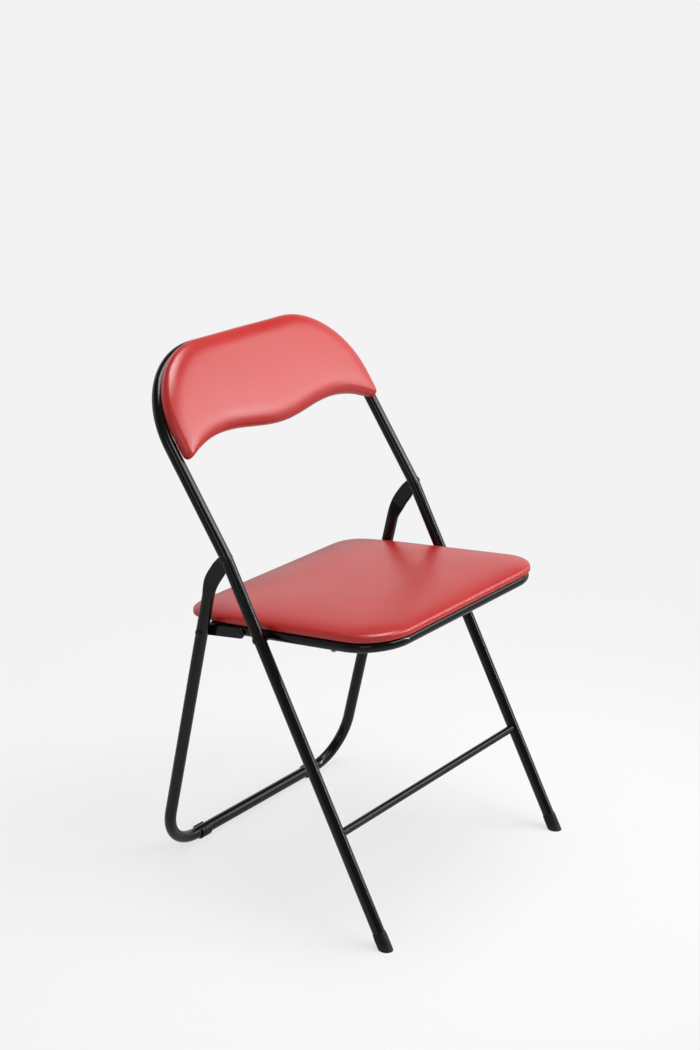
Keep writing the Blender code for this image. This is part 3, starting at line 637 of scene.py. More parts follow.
rear_half_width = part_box("rear_frame_tube")[1].x - TUBE_R
tongue_down = Vector((0, math.sin(TONGUE_LEAN), -math.cos(TONGUE_LEAN)))
rear_down = Vector((0, math.sin(REAR_LEAN), -math.cos(REAR_LEAN)))
knee = elbow + TONGUE_REACH * tongue_down
bar = knee + (knee.z - BAR_HEIGHT) / math.cos(REAR_LEAN) * rear_down
tip_runs = [-TONGUE_TIP_WIDTH / 2 * math.sin(math.radians(turn)) for turn in TONGUE_TIP_TURNS]
stops = [elbow + run * tongue_down for run in (*tip_runs, 0, TONGUE_WIDTH / 2, TONGUE_WIDTH)]
side_bends = [0] * (len(stops) - 1) + [REAR_BEND_R, REAR_CORNER_R]
bend_tube(TUBE_R, both_sides(rear_half_width, [*stops, knee, bar]), side_bends + side_bends[::-1])
print("rear bar at", bar[:])


# %% Rear frame, tongues pressed flat
def ramp(value, start, run):
    """0 up to the start, 1 beyond the run, and even in between."""
    return min(max((value - start) / run, 0), 1)


def eased(share):
    """A share from 0 to 1 that starts and ends gently."""
    return share * share * (3 - 2 * share)


def pressed(run):
    """Half width, half thickness, shift and squareness of the tube at a run from the rivet."""
    ease = eased(ramp(run, TONGUE_FLAT, TONGUE_SWELL))
    taper = ramp(run, 0, TONGUE_TAPER)
    wide = (TONGUE_TIP_WIDTH + (TONGUE_WIDTH - TONGUE_TIP_WIDTH) * taper) / 2
    if run < 0:
        wide = max(TONGUE_THICK / 2, math.sqrt(max(wide ** 2 - run ** 2, 0)))
    wide += (TUBE_R - wide) * ease
    thick = TONGUE_THICK / 2 + (TUBE_R - TONGUE_THICK / 2) * ease
    shift = (rear_half_width - half_width) * (1 - ease)
    return wide, thick, shift, TONGUE_SQUARENESS + (1 - TONGUE_SQUARENESS) * ease


def squared(value, power):
    return math.copysign(abs(value) ** power, value)


mesh = open_mesh()
mesh.verts.ensure_lookup_table()
rings = [mesh.verts[i:i + TUBE_SIDES] for i in range(0, len(mesh.verts), TUBE_SIDES)]
centres = [sum((v.co for v in ring), Vector()) / TUBE_SIDES for ring in rings]
runs = [tip_runs[0]]
for first, second in zip(centres, centres[1:]):
    runs.append(runs[-1] + (second - first).length)
whole = runs[-1] + runs[0]
for i, (ring, centre, run) in enumerate(zip(rings, centres, runs)):
    run = min(run, whole - run)
    if run > TONGUE_FLAT + TONGUE_SWELL:
        continue
    outwards = Vector((math.copysign(1, centre.x), 0, 0))
    ahead = centres[min(i + 1, len(rings) - 1)] - centres[max(i - 1, 0)]
    across = ahead.normalized().cross(outwards)
    wide, thick, shift, power = pressed(run)
    for vert in ring:
        flat = squared((vert.co - centre).dot(across) / TUBE_R, power) * wide
        deep = squared((vert.co - centre).dot(outwards) / TUBE_R, power) * thick
        vert.co = centre + flat * across + (deep - shift) * outwards
bmesh.update_edit_mesh(bpy.context.object.data)
hand_over(close_edit(), "rear_frame_skin", black_enamel, "rear_frame", "rear_frame_tube")

# %% [markdown]
# ## Slots in the legs
# Each tongue goes into the leg from behind, through a slot that is long enough for the fold. A block
# as wide as the slot is laid along the leg, and a Boolean cuts it out. The front wall stays whole.

# %% Leg slots
LEG_SLOT_WIDTH = 0.0056
LEG_SLOT_ABOVE = 0.0085
LEG_SLOT_BELOW = 0.060
LEG_SLOT_FRONT = 0.0077
LEG_SLOT_BEHIND = 0.012


def apply_to(obj, modifier):
    bpy.context.view_layer.objects.active = obj
    bpy.ops.object.modifier_apply(modifier=modifier.name)


def cut_block(obj, middle, size, turn=(0, 0, 0)):
    """Cut a block of a given size out of a piece."""
    deselect()
    bpy.ops.mesh.primitive_cube_add(size=1, location=middle, rotation=turn, scale=size)
    block = bpy.context.object
    slot = obj.modifiers.new("slot", "BOOLEAN")
    slot.object = block
    apply_to(obj, slot)
    bpy.data.objects.remove(block)


leg_rear = Vector((0, leg_up.z, -leg_up.y))
slot_middle = (
    elbow
    + (LEG_SLOT_ABOVE - LEG_SLOT_BELOW) / 2 * leg_up
    + (LEG_SLOT_BEHIND - LEG_SLOT_FRONT) / 2 * leg_rear
)
slot_size = (LEG_SLOT_WIDTH, LEG_SLOT_FRONT + LEG_SLOT_BEHIND, LEG_SLOT_ABOVE + LEG_SLOT_BELOW)
for x in (half_width, -half_width):
    cut_block(front_frame_skin, (x, slot_middle.y, slot_middle.z), slot_size, (-leg_lean, 0, 0))
front_frame_skin.select_set(True)
bpy.ops.object.shade_smooth_by_angle(angle=SMOOTH_ANGLE)
print("front frame with slots", len(front_frame_skin.data.polygons), "faces")

# %% [markdown]
# ## The seat frame
# A U of thinner tube carries the seat pad. It is drawn in the seat's own frame, whose origin is on
# the seat hinge and which is tipped back by a few degrees, and then carried to its place.

# %% Seat frame
SEAT_TUBE_R = 0.008
SEAT_TILT = math.radians(6.6)
SEAT_FRONT_REACH = 0.196
SEAT_REAR_REACH = 0.100
SEAT_CORNER_R = 0.062

seat_pivot = joints["seat_fold"]
seat_place = Matrix.Translation(seat_pivot) @ Matrix.Rotation(-SEAT_TILT, 4, "X")
seat_half_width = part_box("seat_frame_tube")[1].x - SEAT_TUBE_R
u_turn = both_sides(seat_half_width, [Vector((0, SEAT_REAR_REACH, 0)), Vector((0, -SEAT_FRONT_REACH, 0))])
bend_tube(SEAT_TUBE_R, [seat_place @ p for p in u_turn], [SEAT_CORNER_R, SEAT_CORNER_R])
hand_over(close_edit(), "seat_frame_skin", black_enamel, "seat", "seat_frame_tube")

# %% [markdown]
# ## Turned pieces
# Caps, plugs, rivets, spacers and screws are round, so they are turned as on a lathe: a plane is
# merged to a single point, which is extruded along the half profile, and the profile is spun once
# round. A cylinder with bevelled ends would come close, but a profile gives domes and lips exactly.

# %% Lathe helper
LATHE_STEPS = 40
EDGE_STEPS = 2


def turn_on_lathe(profile, place, axis):
    """Spin (radius, height) points about an axis through a place."""
    deselect()
    bpy.ops.mesh.primitive_plane_add()
    start_edit()
    bpy.ops.mesh.merge(type="CENTER")
    bpy.ops.transform.translate(value=(profile[0][0], 0, profile[0][1]))
    for (radius, height), (next_radius, next_height) in zip(profile, profile[1:]):
        extrude((next_radius - radius, 0, next_height - height))
    bpy.ops.mesh.select_all(action="SELECT")
    bpy.ops.mesh.spin(steps=LATHE_STEPS, angle=2 * math.pi, center=(0, 0, 0), axis=(0, 0, 1))
    obj = close_edit()
    obj.location = place
    obj.rotation_euler = axis.to_track_quat("Z", "Y").to_euler()
    keep_place()
    return obj


def round_edges(obj, width):
    """Round the sharp edges of a piece with a bevel that is then applied."""
    bevel = obj.modifiers.new("rounded_edges", "BEVEL")
    bevel.width = width
    bevel.segments = EDGE_STEPS
    bevel.limit_method = "ANGLE"
    bevel.angle_limit = SMOOTH_ANGLE
    apply_to(obj, bevel)
    bpy.ops.object.shade_smooth_by_angle(angle=SMOOTH_ANGLE)


# %% [markdown]
# ## Foot caps
# Rubber ferrules are pushed over the front leg ends. The turned sleeve stands along the leaning leg,
# and a bisect with the floor cuts its sole flat.

# %% Foot caps
CAP_R = 0.0102
CAP_LIP = 0.0008
CAP_LENGTH = 0.026
CAP_TAPER = 0.006
CAP_MOUTH = 0.003
CAP_ROUND = 0.0003
CAP_EDGE = 0.0006
SIDES = (("left", 1), ("right", -1))

cap_profile = (
    (0, CAP_LENGTH - CAP_MOUTH),
    (TUBE_R, CAP_LENGTH - CAP_MOUTH),
    (TUBE_R + CAP_ROUND, CAP_LENGTH),
    (TUBE_R + 0.7 * CAP_LIP, CAP_LENGTH - 0.25 * CAP_LIP),
    (TUBE_R + CAP_LIP, CAP_LENGTH - 1.25 * CAP_LIP),
    (CAP_R - CAP_ROUND, CAP_LENGTH - 0.7 * CAP_TAPER),
    (CAP_R, CAP_LENGTH - CAP_TAPER),
    (CAP_R, -CAP_R),
    (0, -CAP_R),
)
for side, sign in SIDES:
    cap = turn_on_lathe(cap_profile, Vector((sign * half_width, foot.y, 0)), leg_up)
    start_edit()
    bpy.ops.mesh.bisect(plane_co=(0, 0, 0), plane_no=(0, 0, 1), use_fill=True, clear_inner=True)
    close_edit()
    round_edges(cap, CAP_EDGE)
    hand_over(cap, f"foot_cap_rubber_{side}", black_rubber, "front_frame", f"front_foot_cap_{side}")

# %% [markdown]
# ## Tube plugs
# The seat tube ends behind the rear rivets are closed by small domed nylon plugs.

# %% Plugs
PLUG_STEM_R = 0.0067
PLUG_FLANGE = 0.0085
PLUG_DOME = 0.0030
PLUG_GAP = 0.0002
PLUG_STEM = 0.004

plug_profile = (
    (0, PLUG_FLANGE + PLUG_DOME),
    (0.45 * SEAT_TUBE_R, PLUG_FLANGE + 0.93 * PLUG_DOME),
    (0.80 * SEAT_TUBE_R, PLUG_FLANGE + 0.66 * PLUG_DOME),
    (0.95 * SEAT_TUBE_R, PLUG_FLANGE + 0.33 * PLUG_DOME),
    (SEAT_TUBE_R, PLUG_FLANGE),
    (SEAT_TUBE_R, PLUG_GAP),
    (PLUG_STEM_R, PLUG_GAP),
    (PLUG_STEM_R, -PLUG_STEM),
    (0, -PLUG_STEM),
)
backwards = seat_place.to_3x3() @ Vector((0, 1, 0))
for side, sign in SIDES:
    end = seat_place @ Vector((sign * seat_half_width, SEAT_REAR_REACH, 0))
    plug = turn_on_lathe(plug_profile, end, backwards)
    hand_over(plug, f"tube_plug_{side}", black_nylon, "seat", f"seat_tube_plug_{side}")

# %% [markdown]
# ## Rivets and spacers
# Six black rivets with domed heads are the hinges: two at the elbows, two at the seat and two where
# the links meet the rear legs. The seat rivets also pass a black spacer between leg and tube.

# %% Rivets
RIVET_R = 0.003
RIVET_HEAD_R = 0.0058
RIVET_HEAD_H = 0.0017
RIVET_TAIL_R = 0.0040
RIVET_TAIL_H = 0.0009
RIVET_SEAT = 0.0002
DOME_STEPS = 9
LINK_THICK = 0.0024

leg_outer, leg_inner = half_width + TUBE_R, half_width - TUBE_R
rear_outer = rear_half_width + TUBE_R
link_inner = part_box("toggle_link_left")[0].x
link_outer = link_inner + LINK_THICK
seat_outer = seat_half_width + SEAT_TUBE_R
link_pivot = joints["link_turn_left"]


def rivet_profile(outer, inner):
    """Dome, shank and flat tail between an outer and an inner face."""
    turns = [math.pi / 2 * step / DOME_STEPS for step in range(DOME_STEPS + 1)]
    dome = [(RIVET_HEAD_R * math.sin(turn), outer + RIVET_HEAD_H * math.cos(turn)) for turn in turns]
    tail = inner - RIVET_TAIL_H
    return (
        *dome,
        (RIVET_R, outer - RIVET_SEAT),
        (RIVET_R, inner),
        (RIVET_TAIL_R, inner),
        (RIVET_TAIL_R, inner - 0.4 * RIVET_TAIL_H),
        (0.75 * RIVET_TAIL_R, tail),
        (0, tail),
    )


rivets = {
    "elbow_rivet": (leg_outer, leg_inner, elbow, "front_frame"),
    "seat_rivet": (leg_outer, seat_half_width - SEAT_TUBE_R, seat_pivot, "front_frame"),
    "link_rear_rivet": (rear_outer, link_inner, link_pivot, "rear_frame"),
}
for name, (outer, inner, place, body) in rivets.items():
    profile = rivet_profile(outer, inner)
    for side, sign in SIDES:
        rivet = turn_on_lathe(profile, Vector((0, place.y, place.z)), Vector((sign, 0, 0)))
        hand_over(rivet, f"domed_{name}_{side}", black_enamel, body, f"{name}_{side}")

# %% Spacers
SPACER_R = 0.0064
SPACER_EDGE = 0.0006

collar = (
    (RIVET_R, seat_outer),
    (RIVET_R, leg_inner),
    (SPACER_R - SPACER_EDGE, leg_inner),
    (SPACER_R, leg_inner - SPACER_EDGE),
    (SPACER_R, seat_outer + SPACER_EDGE),
    (SPACER_R - SPACER_EDGE, seat_outer),
    (RIVET_R, seat_outer),
)
for side, sign in SIDES:
    spacer = turn_on_lathe(collar, Vector((0, seat_pivot.y, seat_pivot.z)), Vector((sign, 0, 0)))
    hand_over(spacer, f"collar_{side}", black_enamel, "front_frame", f"seat_spacer_{side}")

# %% [markdown]
# ## Toggle links
# A flat strap joins the seat tube to the rear leg on each side and locks the chair open. A disc is
# the start: its front half is moved along the strap, which leaves a blank with two round ends. The
# blank is extruded to the thickness of the sheet and its edges are rounded over.

# %% Links and their front rivets
LINK_WIDTH = 0.016
LINK_END_STEPS = 48
LINK_EDGE = 0.0004
STUB_HEAD_H = 0.0013

stub_low, stub_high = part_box("link_front_rivet_left")
link_front = (stub_low + stub_high) / 2
link_run = Vector((0, link_front.y - link_pivot.y, link_front.z - link_pivot.z))
half_step = math.pi / LINK_END_STEPS
in_plane = Matrix.Rotation(math.atan2(link_run.y, -link_run.z) + half_step, 4, "Z")
upright = (Matrix.Rotation(math.pi / 2, 4, "Y") @ in_plane).to_euler()
stub_profile = (
    (0, link_outer + STUB_HEAD_H),
    (0.6 * RIVET_HEAD_R, link_outer + 0.9 * STUB_HEAD_H),
    (0.9 * RIVET_HEAD_R, link_outer + 0.5 * STUB_HEAD_H),
    (RIVET_HEAD_R, link_outer),
    (RIVET_R, link_outer - RIVET_SEAT),
    (RIVET_R, link_inner),
    (0, link_inner),
)
for side, sign in SIDES:
    deselect()
    bpy.ops.mesh.primitive_circle_add(
        vertices=LINK_END_STEPS, radius=LINK_WIDTH / 2, fill_type="NGON",
        location=(sign * link_inner, link_pivot.y, link_pivot.z), rotation=upright,
    )
    keep_place()
    start_edit()
    mesh = open_mesh()
    for vert in mesh.verts:
        if (vert.co - link_pivot).dot(link_run) > 0:
            vert.co += link_run
    bmesh.update_edit_mesh(bpy.context.object.data)
    extrude((sign * LINK_THICK, 0, 0))
    strap = close_edit()
    round_edges(strap, LINK_EDGE)
    hand_over(strap, f"link_strap_{side}", black_enamel, f"link_{side}", f"toggle_link_{side}")
    stub = turn_on_lathe(stub_profile, Vector((0, link_front.y, link_front.z)), Vector((sign, 0, 0)))
    hand_over(stub, f"link_stub_{side}", black_enamel, f"link_{side}", f"link_front_rivet_{side}")

# %% [markdown]
# ## Rear glides
# Nylon clips are snapped over the floor bar. A pipe without ends is the start: the faces of the
# mouth are deleted, Solidify gives the wall, what reaches under the floor is flattened to a sole,
# and a bevel breaks the edges.

# %% Glides
GLIDE_CLEARANCE = 0.0002
GLIDE_WALL = 0.0025
GLIDE_LENGTH = 0.021
GLIDE_FROM_MIDDLE = 0.134
GLIDE_MOUTH = math.radians(96)
GLIDE_STEPS = 90
GLIDE_EDGE = 0.0005

glide_r = TUBE_R + GLIDE_CLEARANCE + GLIDE_WALL
for side, sign in SIDES:
    middle = Vector((sign * GLIDE_FROM_MIDDLE, bar.y, bar.z))
    deselect()
    bpy.ops.mesh.primitive_cylinder_add(
        vertices=GLIDE_STEPS, radius=glide_r, depth=GLIDE_LENGTH, end_fill_type="NOTHING",
        location=middle, rotation=(0, math.pi / 2, 0),
    )
    clip = bpy.context.object
    keep_place()
    start_edit()
    mesh = open_mesh()
    for face in mesh.faces:
        spoke = face.calc_center_median() - middle
        face.select_set(math.atan2(abs(spoke.y), spoke.z) < GLIDE_MOUTH / 2)
    bpy.ops.mesh.delete(type="FACE")
    bpy.ops.object.mode_set(mode="OBJECT")
    wall = clip.modifiers.new("wall", "SOLIDIFY")
    wall.thickness = GLIDE_WALL
    wall.offset = -1
    apply_to(clip, wall)
    start_edit()
    mesh = open_mesh()
    for vert in mesh.verts:
        vert.co.z = max(vert.co.z, 0)
    bmesh.update_edit_mesh(clip.data)
    close_edit()
    round_edges(clip, GLIDE_EDGE)
    hand_over(clip, f"floor_clip_{side}", black_nylon, "rear_frame", f"rear_glide_{side}")

# %% [markdown]
# ## Tabs behind the back pad
# Four small plates are welded to the hoop for the back pad's screws. Their solids have the right
# shape already, so each is copied, its loose triangles are merged, and its edges are broken.

# %% Tabs
TAB_MERGE = 0.000005
TAB_FLAT = math.radians(2)
TAB_EDGE = 0.0003

places = [f"{height}_{side}" for height in ("low", "top") for side in ("left", "right")]


def copy_with_mesh(obj, name):
    """A copy of a piece with a mesh of its own."""
    copy = bpy.data.objects.new(name, obj.data.copy())
    bpy.context.scene.collection.objects.link(copy)
    return copy


for place in places:
    node = frame["nodes"][f"back_tab_{place}"]
    tab = copy_with_mesh(node, f"weld_tab_{place}")
    deselect()
    tab.select_set(True)
    bpy.context.view_layer.objects.active = tab
    start_edit()
    bpy.ops.mesh.remove_doubles(threshold=TAB_MERGE)
    bpy.ops.mesh.dissolve_limited(angle_limit=TAB_FLAT)
    close_edit()
    round_edges(tab, TAB_EDGE)
    hand_over(tab, f"weld_tab_{place}", black_enamel, "front_frame", node.name)

# %% [markdown]
# ## Screws
# Eight pan head screws hold the two pads. One is turned and gets its cross slot from two thin blocks
# in a Boolean. Eight copies of it, each with its own mesh, are set on the axes of their solids.

# %% One screw
SCREW_R = 0.00175
SCREW_HEAD_R = 0.0042
SCREW_HEAD_H = 0.0024
SCREW_LENGTH = 0.008
SLOT_WIDTH = 0.0009

screw_profile = (
    (0, SCREW_LENGTH),
    (SCREW_R, SCREW_LENGTH - SCREW_R),
    (SCREW_R, 0),
    (SCREW_HEAD_R, 0),
    (SCREW_HEAD_R, -0.35 * SCREW_HEAD_H),
    (0.93 * SCREW_HEAD_R, -0.65 * SCREW_HEAD_H),
    (0.75 * SCREW_HEAD_R, -0.88 * SCREW_HEAD_H),
    (0.45 * SCREW_HEAD_R, -SCREW_HEAD_H),
    (0, -SCREW_HEAD_H),
)
screw = turn_on_lathe(screw_profile, Vector(), Vector((0, 0, 1)))
for length, width in ((SCREW_HEAD_R, SLOT_WIDTH), (SLOT_WIDTH, SCREW_HEAD_R)):
    cut_block(screw, (0, 0, -SCREW_HEAD_H), (length, width, SCREW_HEAD_H))
print("screw", len(screw.data.polygons), "faces")

# %% Eight screws
BACK_HEAD_AT = -0.0064

hoop_place = Matrix.Translation(elbow) @ Matrix.Rotation(-HOOP_LEAN, 4, "X")
forwards = Matrix.Rotation(math.pi / 2, 4, "X")


def in_frame(node, place):
    """Middle of a solid in a tipped frame."""
    low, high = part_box(node)
    return place.inverted() @ ((low + high) / 2)


spots = {}
for row in ("front_left", "front_right", "rear_left", "rear_right"):
    spot = in_frame(f"seat_screw_{row}", seat_place)
    spots[f"seat_screw_{row}"] = seat_place @ Matrix.Translation((spot.x, spot.y, -SEAT_TUBE_R)), "seat"
for place in places:
    spot = in_frame(f"back_screw_{place}", hoop_place)
    head = hoop_place @ Matrix.Translation((spot.x, BACK_HEAD_AT, spot.z)) @ forwards
    spots[f"back_screw_{place}"] = head, "front_frame"
for node, (place, body) in spots.items():
    copy = copy_with_mesh(screw, node)
    copy.data.transform(place)
    hand_over(copy, f"pan_{node}", zinc_plate, body, node)
bpy.data.objects.remove(screw)

# %% [markdown]
# ## Pads
# Both pads are a board and foam under stretched vinyl: a short upright side, a full round shoulder
# and a soft crown. The outline is a ring of points. It is extruded ring by ring, as with many small
# insets, first up the side and then in to the middle, and each ring is laid on its place. A voxel
# remesh would lose the outline's waves, so the rings stay as they are. A cloth simulation then swells
# the top like the foam does, held along the side.

# %% Outline helpers
def round_corners(corners, radii):
    """Points along a closed outline with its corners turned into arcs."""
    points = []
    for i, (corner, radius) in enumerate(zip(corners, radii)):
        into = (corner - corners[i - 1]).normalized()
        away = (corners[(i + 1) % len(corners)] - corner).normalized()
        turn = into.angle(away)
        if radius == 0 or turn == 0:
            points.append(corner)
            continue
        side = (away - into * into.dot(away)).normalized()
        start = corner - into * radius * math.tan(turn / 2)
        steps = max(2, math.ceil(turn / BEND_STEP))
        for angle in [turn * k / steps for k in range(steps + 1)]:
            points.append(start + radius * (math.sin(angle) * into + (1 - math.cos(angle)) * side))
    return points


def even_steps(points, spacing):
    """The same closed outline with points at even steps."""
    lengths = [(b - a).length for a, b in zip(points, points[1:] + points[:1])]
    count = 4 * round(sum(lengths) / spacing / 4)
    step = sum(lengths) / count
    even, travelled, i = [], 0.0, 0
    for k in range(count):
        while travelled + lengths[i] < k * step:
            travelled += lengths[i]
            i += 1
        share = (k * step - travelled) / lengths[i]
        even.append(points[i].lerp(points[(i + 1) % len(points)], share))
    return even


def moved_in(outline, distance):
    """Every point of an anticlockwise outline moved inwards."""
    ring = []
    for i, point in enumerate(outline):
        along = (outline[(i + 1) % len(outline)] - outline[i - 1]).normalized()
        ring.append(point + distance * Vector((-along.y, along.x)))
    return ring


def drawn_to_oval(outline, middle, oval, scale):
    """An outline drawn towards its middle and rounded to an oval on the way."""
    ring = []
    for point in outline:
        spoke = point - middle
        angle = math.atan2(spoke.y / oval.y, spoke.x / oval.x)
        round_spoke = Vector((oval.x * math.cos(angle), oval.y * math.sin(angle)))
        ring.append(middle + scale * spoke.lerp(round_spoke, 1 - scale))
    return ring


# %% Ring helpers
def lay_ring(points):
    """Move the selected ring of vertices onto the points."""
    mesh = open_mesh()
    for vert, point in zip([v for v in mesh.verts if v.select], points):
        vert.co = point
    bmesh.update_edit_mesh(bpy.context.object.data)


def select_first(count):
    """Select the ring of vertices that was made first."""
    bpy.ops.mesh.select_all(action="DESELECT")
    mesh = open_mesh()
    for vert in mesh.verts:
        vert.select_set(vert.index < count)
    mesh.select_flush(True)


def loft_rings(held, crown):
    """Extrude a ring of edges through held and crown rings of points, with a grid in both ends."""
    count = len(held[0])
    deselect()
    bpy.ops.mesh.primitive_circle_add(vertices=count, radius=1)
    pad = bpy.context.object
    start_edit()
    lay_ring(held[0])
    bpy.ops.mesh.fill_grid(span=count // 4)
    select_first(count)
    for ring in held[1:] + crown:
        extrude((0, 0, 0))
        lay_ring(ring)
    held_count = len(open_mesh().verts) - count * len(crown)
    bpy.ops.mesh.fill_grid(span=count // 4)
    bpy.ops.mesh.select_all(action="SELECT")
    bpy.ops.mesh.normals_make_consistent(inside=False)
    bpy.ops.object.mode_set(mode="OBJECT")
    return pad, held_count


# %% [markdown]
# ### The side and the crown of a pad
# One list of steps describes the side of both pads: how far in from the outline, and how high. The
# crown is then lifted by the distance of each point from the outline: it leaves the side upright and
# flattens towards the middle, like a slice of an ellipse. Where two sides are near, a plain distance
# would leave a ridge halfway. So every step of the outline pulls on the point, the near ones most.

# %% Side and crown
PAD_CLEARANCE = 0.0003
PAD_SIDE = 0.005
PAD_EDGE_ROUND = 0.0016
EDGE_INSETS = (0.0002, 0.0006, 0.0014, 0.0026, 0.0042, 0.0062)
CROWN_SCALES = (0.95, 0.89, 0.82, 0.74, 0.66, 0.58, 0.50, 0.42)
OUTLINE_STEP = 0.0015
SHOULDER_POWER = 2.4
SHOULDER_ROUND = 0.4
PULL_FROM = 0.002
PULL_RUN = 0.010

side_steps = [
    (PAD_EDGE_ROUND, 0),
    (0.3 * PAD_EDGE_ROUND, 0.3 * PAD_EDGE_ROUND),
    (0, PAD_EDGE_ROUND),
    (0, 0.7 * PAD_SIDE),
    (0, PAD_SIDE),
]


def crown_rings(outline, middle, oval):
    """Rings from the upper edge in to the middle."""
    rings = [moved_in(outline, inset) for inset in EDGE_INSETS]
    return rings + [drawn_to_oval(rings[-1], middle, oval, scale) for scale in CROWN_SCALES]


def from_outline(spot, steps):
    """Distance from an outline, eased further in where several of its sides are near."""
    gaps = [(spot.x - step.x) ** 2 + (spot.y - step.y) ** 2 for step in steps]
    plain = math.sqrt(min(gaps))
    pull = OUTLINE_STEP * sum(gap ** -2 for gap in gaps)
    pulled = (2 * pull / math.pi) ** (-1 / 3)
    return plain + ramp(plain, PULL_FROM, PULL_RUN) * (pulled - plain)


def lift_crown(pad, held_count, place, base, outline, crown, shoulder):
    """Set the height of each crown point by its distance from the outline, and give the distances."""
    steps = even_steps(outline, OUTLINE_STEP)
    back = place.inverted()
    distances = []
    for vert in pad.data.vertices[held_count:]:
        spot = back @ vert.co
        distances.append(from_outline(spot, steps))
        rise = (1 - max(1 - distances[-1] / shoulder, 0) ** SHOULDER_POWER) ** SHOULDER_ROUND
        vert.co = place @ Vector((spot.x, spot.y, base + PAD_SIDE + crown * rise))
    return distances


# %% [markdown]
# ### Swelling the foam
# The cloth gets pressure from inside and no weight. All but the crown is pinned. What counts is how
# far each point rises out of the pad. That rise is scaled to the foam and evened out over a hand's
# breadth, as a hand strokes out the puckers of the stretched vinyl, and it starts gently at the side.
# One subdivision then makes the skin finer.

# %% Cloth helper
PRESSURE = 4.0
CLOTH_FRAMES = 20
CLOTH_QUALITY = 5
STRETCH_STIFFNESS = 40
BEND_STIFFNESS = 8
HAND = 0.025
RISE_RUN = 0.020
PAD_SMOOTH_ANGLE = math.radians(60)


def swell(pad, held_count, start, up, most):
    """How far each point of a pad rises when it is inflated, by a given distance at the most."""
    held = pad.vertex_groups.new(name="held")
    held.add(range(held_count), 1.0, "REPLACE")
    cloth = pad.modifiers.new("vinyl", "CLOTH")
    cloth.settings.quality = CLOTH_QUALITY
    cloth.settings.tension_stiffness = STRETCH_STIFFNESS
    cloth.settings.compression_stiffness = STRETCH_STIFFNESS
    cloth.settings.bending_stiffness = BEND_STIFFNESS
    cloth.settings.use_pressure = True
    cloth.settings.uniform_pressure_force = PRESSURE
    cloth.settings.vertex_group_mass = held.name
    cloth.settings.effector_weights.gravity = 0
    cloth.point_cache.frame_start = 1
    cloth.point_cache.frame_end = CLOTH_FRAMES
    for step in range(1, CLOTH_FRAMES + 1):
        bpy.context.scene.frame_set(step)
    apply_to(pad, cloth)
    bpy.context.scene.frame_set(1)
    rises = np.array([max((vert.co - spot).dot(up), 0) for vert, spot in zip(pad.data.vertices, start)])
    print("cloth rises by up to", rises.max(), "m, foam by", most)
    return stroke_out(np.array(start), rises * most / rises.max())


def stroke_out(spots, rises):
    """Every rise as the mean of those around it, the near ones counting most."""
    even = []
    for spot in spots:
        share = np.exp(-((spots - spot) ** 2).sum(axis=1) / (2 * HAND ** 2))
        even.append(float((share * rises).sum() / share.sum()))
    return even


def finer_skin(pad):
    """Subdivide once and shade smooth."""
    finer = pad.modifiers.new("finer", "SUBSURF")
    finer.levels = finer.render_levels = 1
    finer.use_limit_surface = False
    apply_to(pad, finer)
    bpy.ops.object.shade_smooth_by_angle(angle=PAD_SMOOTH_ANGLE)


def make_pad(place, base, outline, middle, oval, lead_in, crown, shoulder, most):
    """Loft, crown, swell and smooth a pad in its own frame."""
    held = lead_in + [(moved_in(outline, inset), height) for inset, height in side_steps]
    held = [[place @ Vector((p.x, p.y, base + height)) for p in ring] for ring, height in held]
    crown_plan = crown_rings(outline, middle, oval)
    top = [[place @ Vector((p.x, p.y, base + PAD_SIDE)) for p in ring] for ring in crown_plan]
    pad, held_count = loft_rings(held, top)
    distances = lift_crown(pad, held_count, place, base, outline, crown, shoulder)
    up = place.to_3x3() @ Vector((0, 0, 1))
    start = [vert.co.copy() for vert in pad.data.vertices]
    rises = swell(pad, held_count, start, up, most)
    for i, vert in enumerate(pad.data.vertices):
        inwards = ramp(distances[i - held_count], 0, RISE_RUN) if i >= held_count else 0
        vert.co = start[i] + up * (rises[i] * eased(inwards))
    finer_skin(pad)
    return pad


# %% [markdown]
# ### The seat pad
# Seen from above the seat has parallel sides, round front corners and a rear that draws in. The
# vinyl is folded under and ends in a hem, so the section starts in a recess below, where the
# plywood shows, and runs out along the hem to the rim.

# %% Seat pad
SEAT_PAD_LOW = SEAT_TUBE_R + PAD_CLEARANCE
SEAT_PAD_HALF = 0.2085
SEAT_PAD_FRONT = -0.207
SEAT_PAD_REAR = 0.171
SEAT_PAD_TAPER = 0.0095
SEAT_PAD_TAPER_LENGTH = 0.080
SEAT_PAD_RADII = (0.066, 0.45, 0.045)
SEAT_CROWN = 0.0130
SEAT_SHOULDER = 0.075
SEAT_SWELL = 0.003
SEAT_HEM = 0.022
HEM_EDGE_UP = 0.0004
HEM_EDGE_OUT = 0.0006
RECESS = 0.006
PAD_SPACING = 0.012

side = [
    Vector((SEAT_PAD_HALF, SEAT_PAD_FRONT)),
    Vector((SEAT_PAD_HALF, SEAT_PAD_REAR - SEAT_PAD_TAPER_LENGTH)),
    Vector((SEAT_PAD_HALF - SEAT_PAD_TAPER, SEAT_PAD_REAR)),
]
corners = with_mirror_image(side)
outline = even_steps(round_corners(corners, SEAT_PAD_RADII + SEAT_PAD_RADII[::-1]), PAD_SPACING)
middle = Vector((0, (SEAT_PAD_FRONT + SEAT_PAD_REAR) / 2))
oval = Vector((SEAT_PAD_HALF, (SEAT_PAD_REAR - SEAT_PAD_FRONT) / 2))
hem_steps = [
    (SEAT_HEM, RECESS),
    (SEAT_HEM, HEM_EDGE_UP),
    (SEAT_HEM - HEM_EDGE_OUT, 0),
    (0.5 * SEAT_HEM, 0),
]
hem = [(moved_in(outline, inset), height) for inset, height in hem_steps]
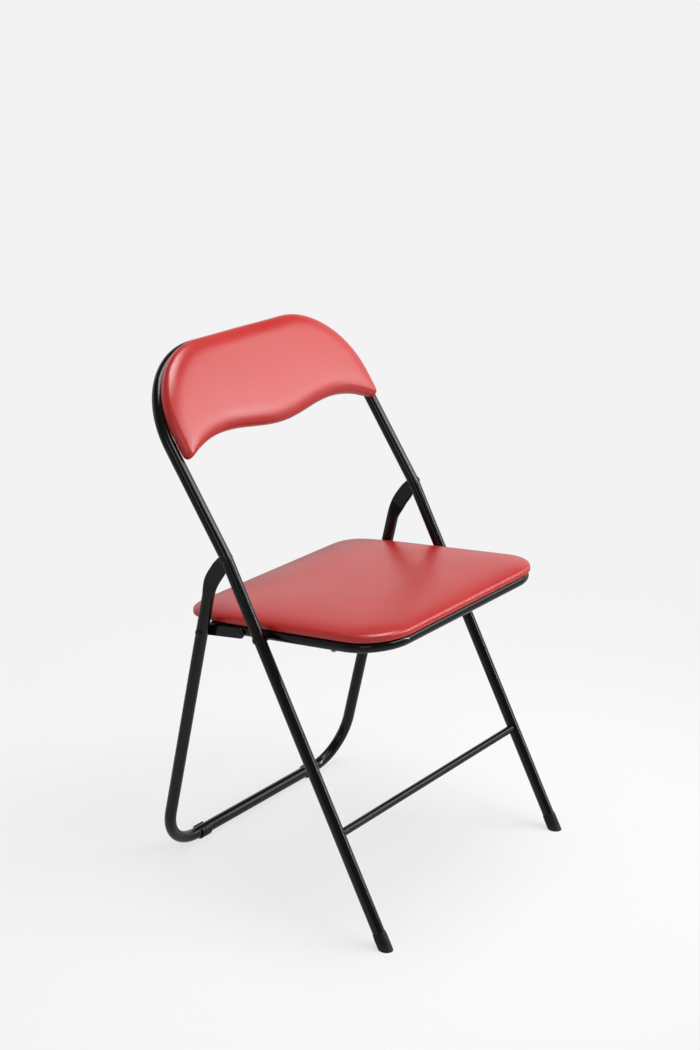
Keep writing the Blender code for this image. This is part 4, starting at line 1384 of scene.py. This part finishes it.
seat_pad = make_pad(
    seat_place, SEAT_PAD_LOW, outline, middle, oval, hem, SEAT_CROWN, SEAT_SHOULDER, SEAT_SWELL
)
hand_over(seat_pad, "seat_pad_vinyl", red_vinyl, "seat", "seat_cover", "seat_foam")

# %% [markdown]
# ### The back pad
# The back pad has big round upper corners that follow the hoop, two pointed lower corners and a
# waved lower edge with a shallow dip in the middle. Its vinyl goes all round, so it is closed behind.

# %% Back pad
BACK_PAD_LOW = TUBE_R + PAD_CLEARANCE
BACK_PAD_HALF = 0.223
BACK_PAD_ABOVE_HOOP = 0.0046
BACK_PAD_TOP = HOOP_LENGTH + BACK_PAD_ABOVE_HOOP
BACK_PAD_TOP_R = 0.126
BACK_MIDDLE_HEIGHT = 0.158
BACK_ARCH_HEIGHT = 0.171
BACK_TIP_HEIGHT = 0.143
BACK_ARCH_X = 0.125
BACK_TIP_R = 0.008
BACK_TIP_RUN = 0.014
BACK_WAVE_STEPS = 60
BACK_CROWN = 0.0160
BACK_SHOULDER = 0.030
BACK_SWELL = 0.003


def wave_height(x):
    """Height of the lower edge at a distance from the middle."""
    if x <= BACK_ARCH_X:
        swing = (1 + math.cos(math.pi * x / BACK_ARCH_X)) / 2
        return BACK_ARCH_HEIGHT + (BACK_MIDDLE_HEIGHT - BACK_ARCH_HEIGHT) * swing
    share = (x - BACK_ARCH_X) / (BACK_PAD_HALF - BACK_ARCH_X)
    return BACK_ARCH_HEIGHT + (BACK_TIP_HEIGHT - BACK_ARCH_HEIGHT) * share ** 2


reach = BACK_PAD_HALF - BACK_TIP_RUN
wave_x = [reach * (2 * k / BACK_WAVE_STEPS - 1) for k in range(BACK_WAVE_STEPS + 1)]
wave = [Vector((x, wave_height(abs(x)))) for x in wave_x]
right_side = [Vector((BACK_PAD_HALF, BACK_TIP_HEIGHT)), Vector((BACK_PAD_HALF, BACK_PAD_TOP))]
corners = wave + with_mirror_image(right_side)
radii = [0] * len(wave) + [BACK_TIP_R, BACK_PAD_TOP_R, BACK_PAD_TOP_R, BACK_TIP_R]
outline = even_steps(round_corners(corners, radii), PAD_SPACING / 2)
middle = Vector((0, (BACK_PAD_TOP + BACK_ARCH_HEIGHT) / 2))
oval = Vector((BACK_PAD_HALF, BACK_PAD_TOP - middle.y))
rear = [(drawn_to_oval(outline, middle, oval, scale), 0) for scale in reversed(CROWN_SCALES[::2])]
back_place = hoop_place @ forwards
back_pad = make_pad(
    back_place, BACK_PAD_LOW, outline, middle, oval, rear, BACK_CROWN, BACK_SHOULDER, BACK_SWELL
)
hand_over(back_pad, "back_pad_vinyl", red_vinyl, "front_frame", "back_cover", "back_foam")
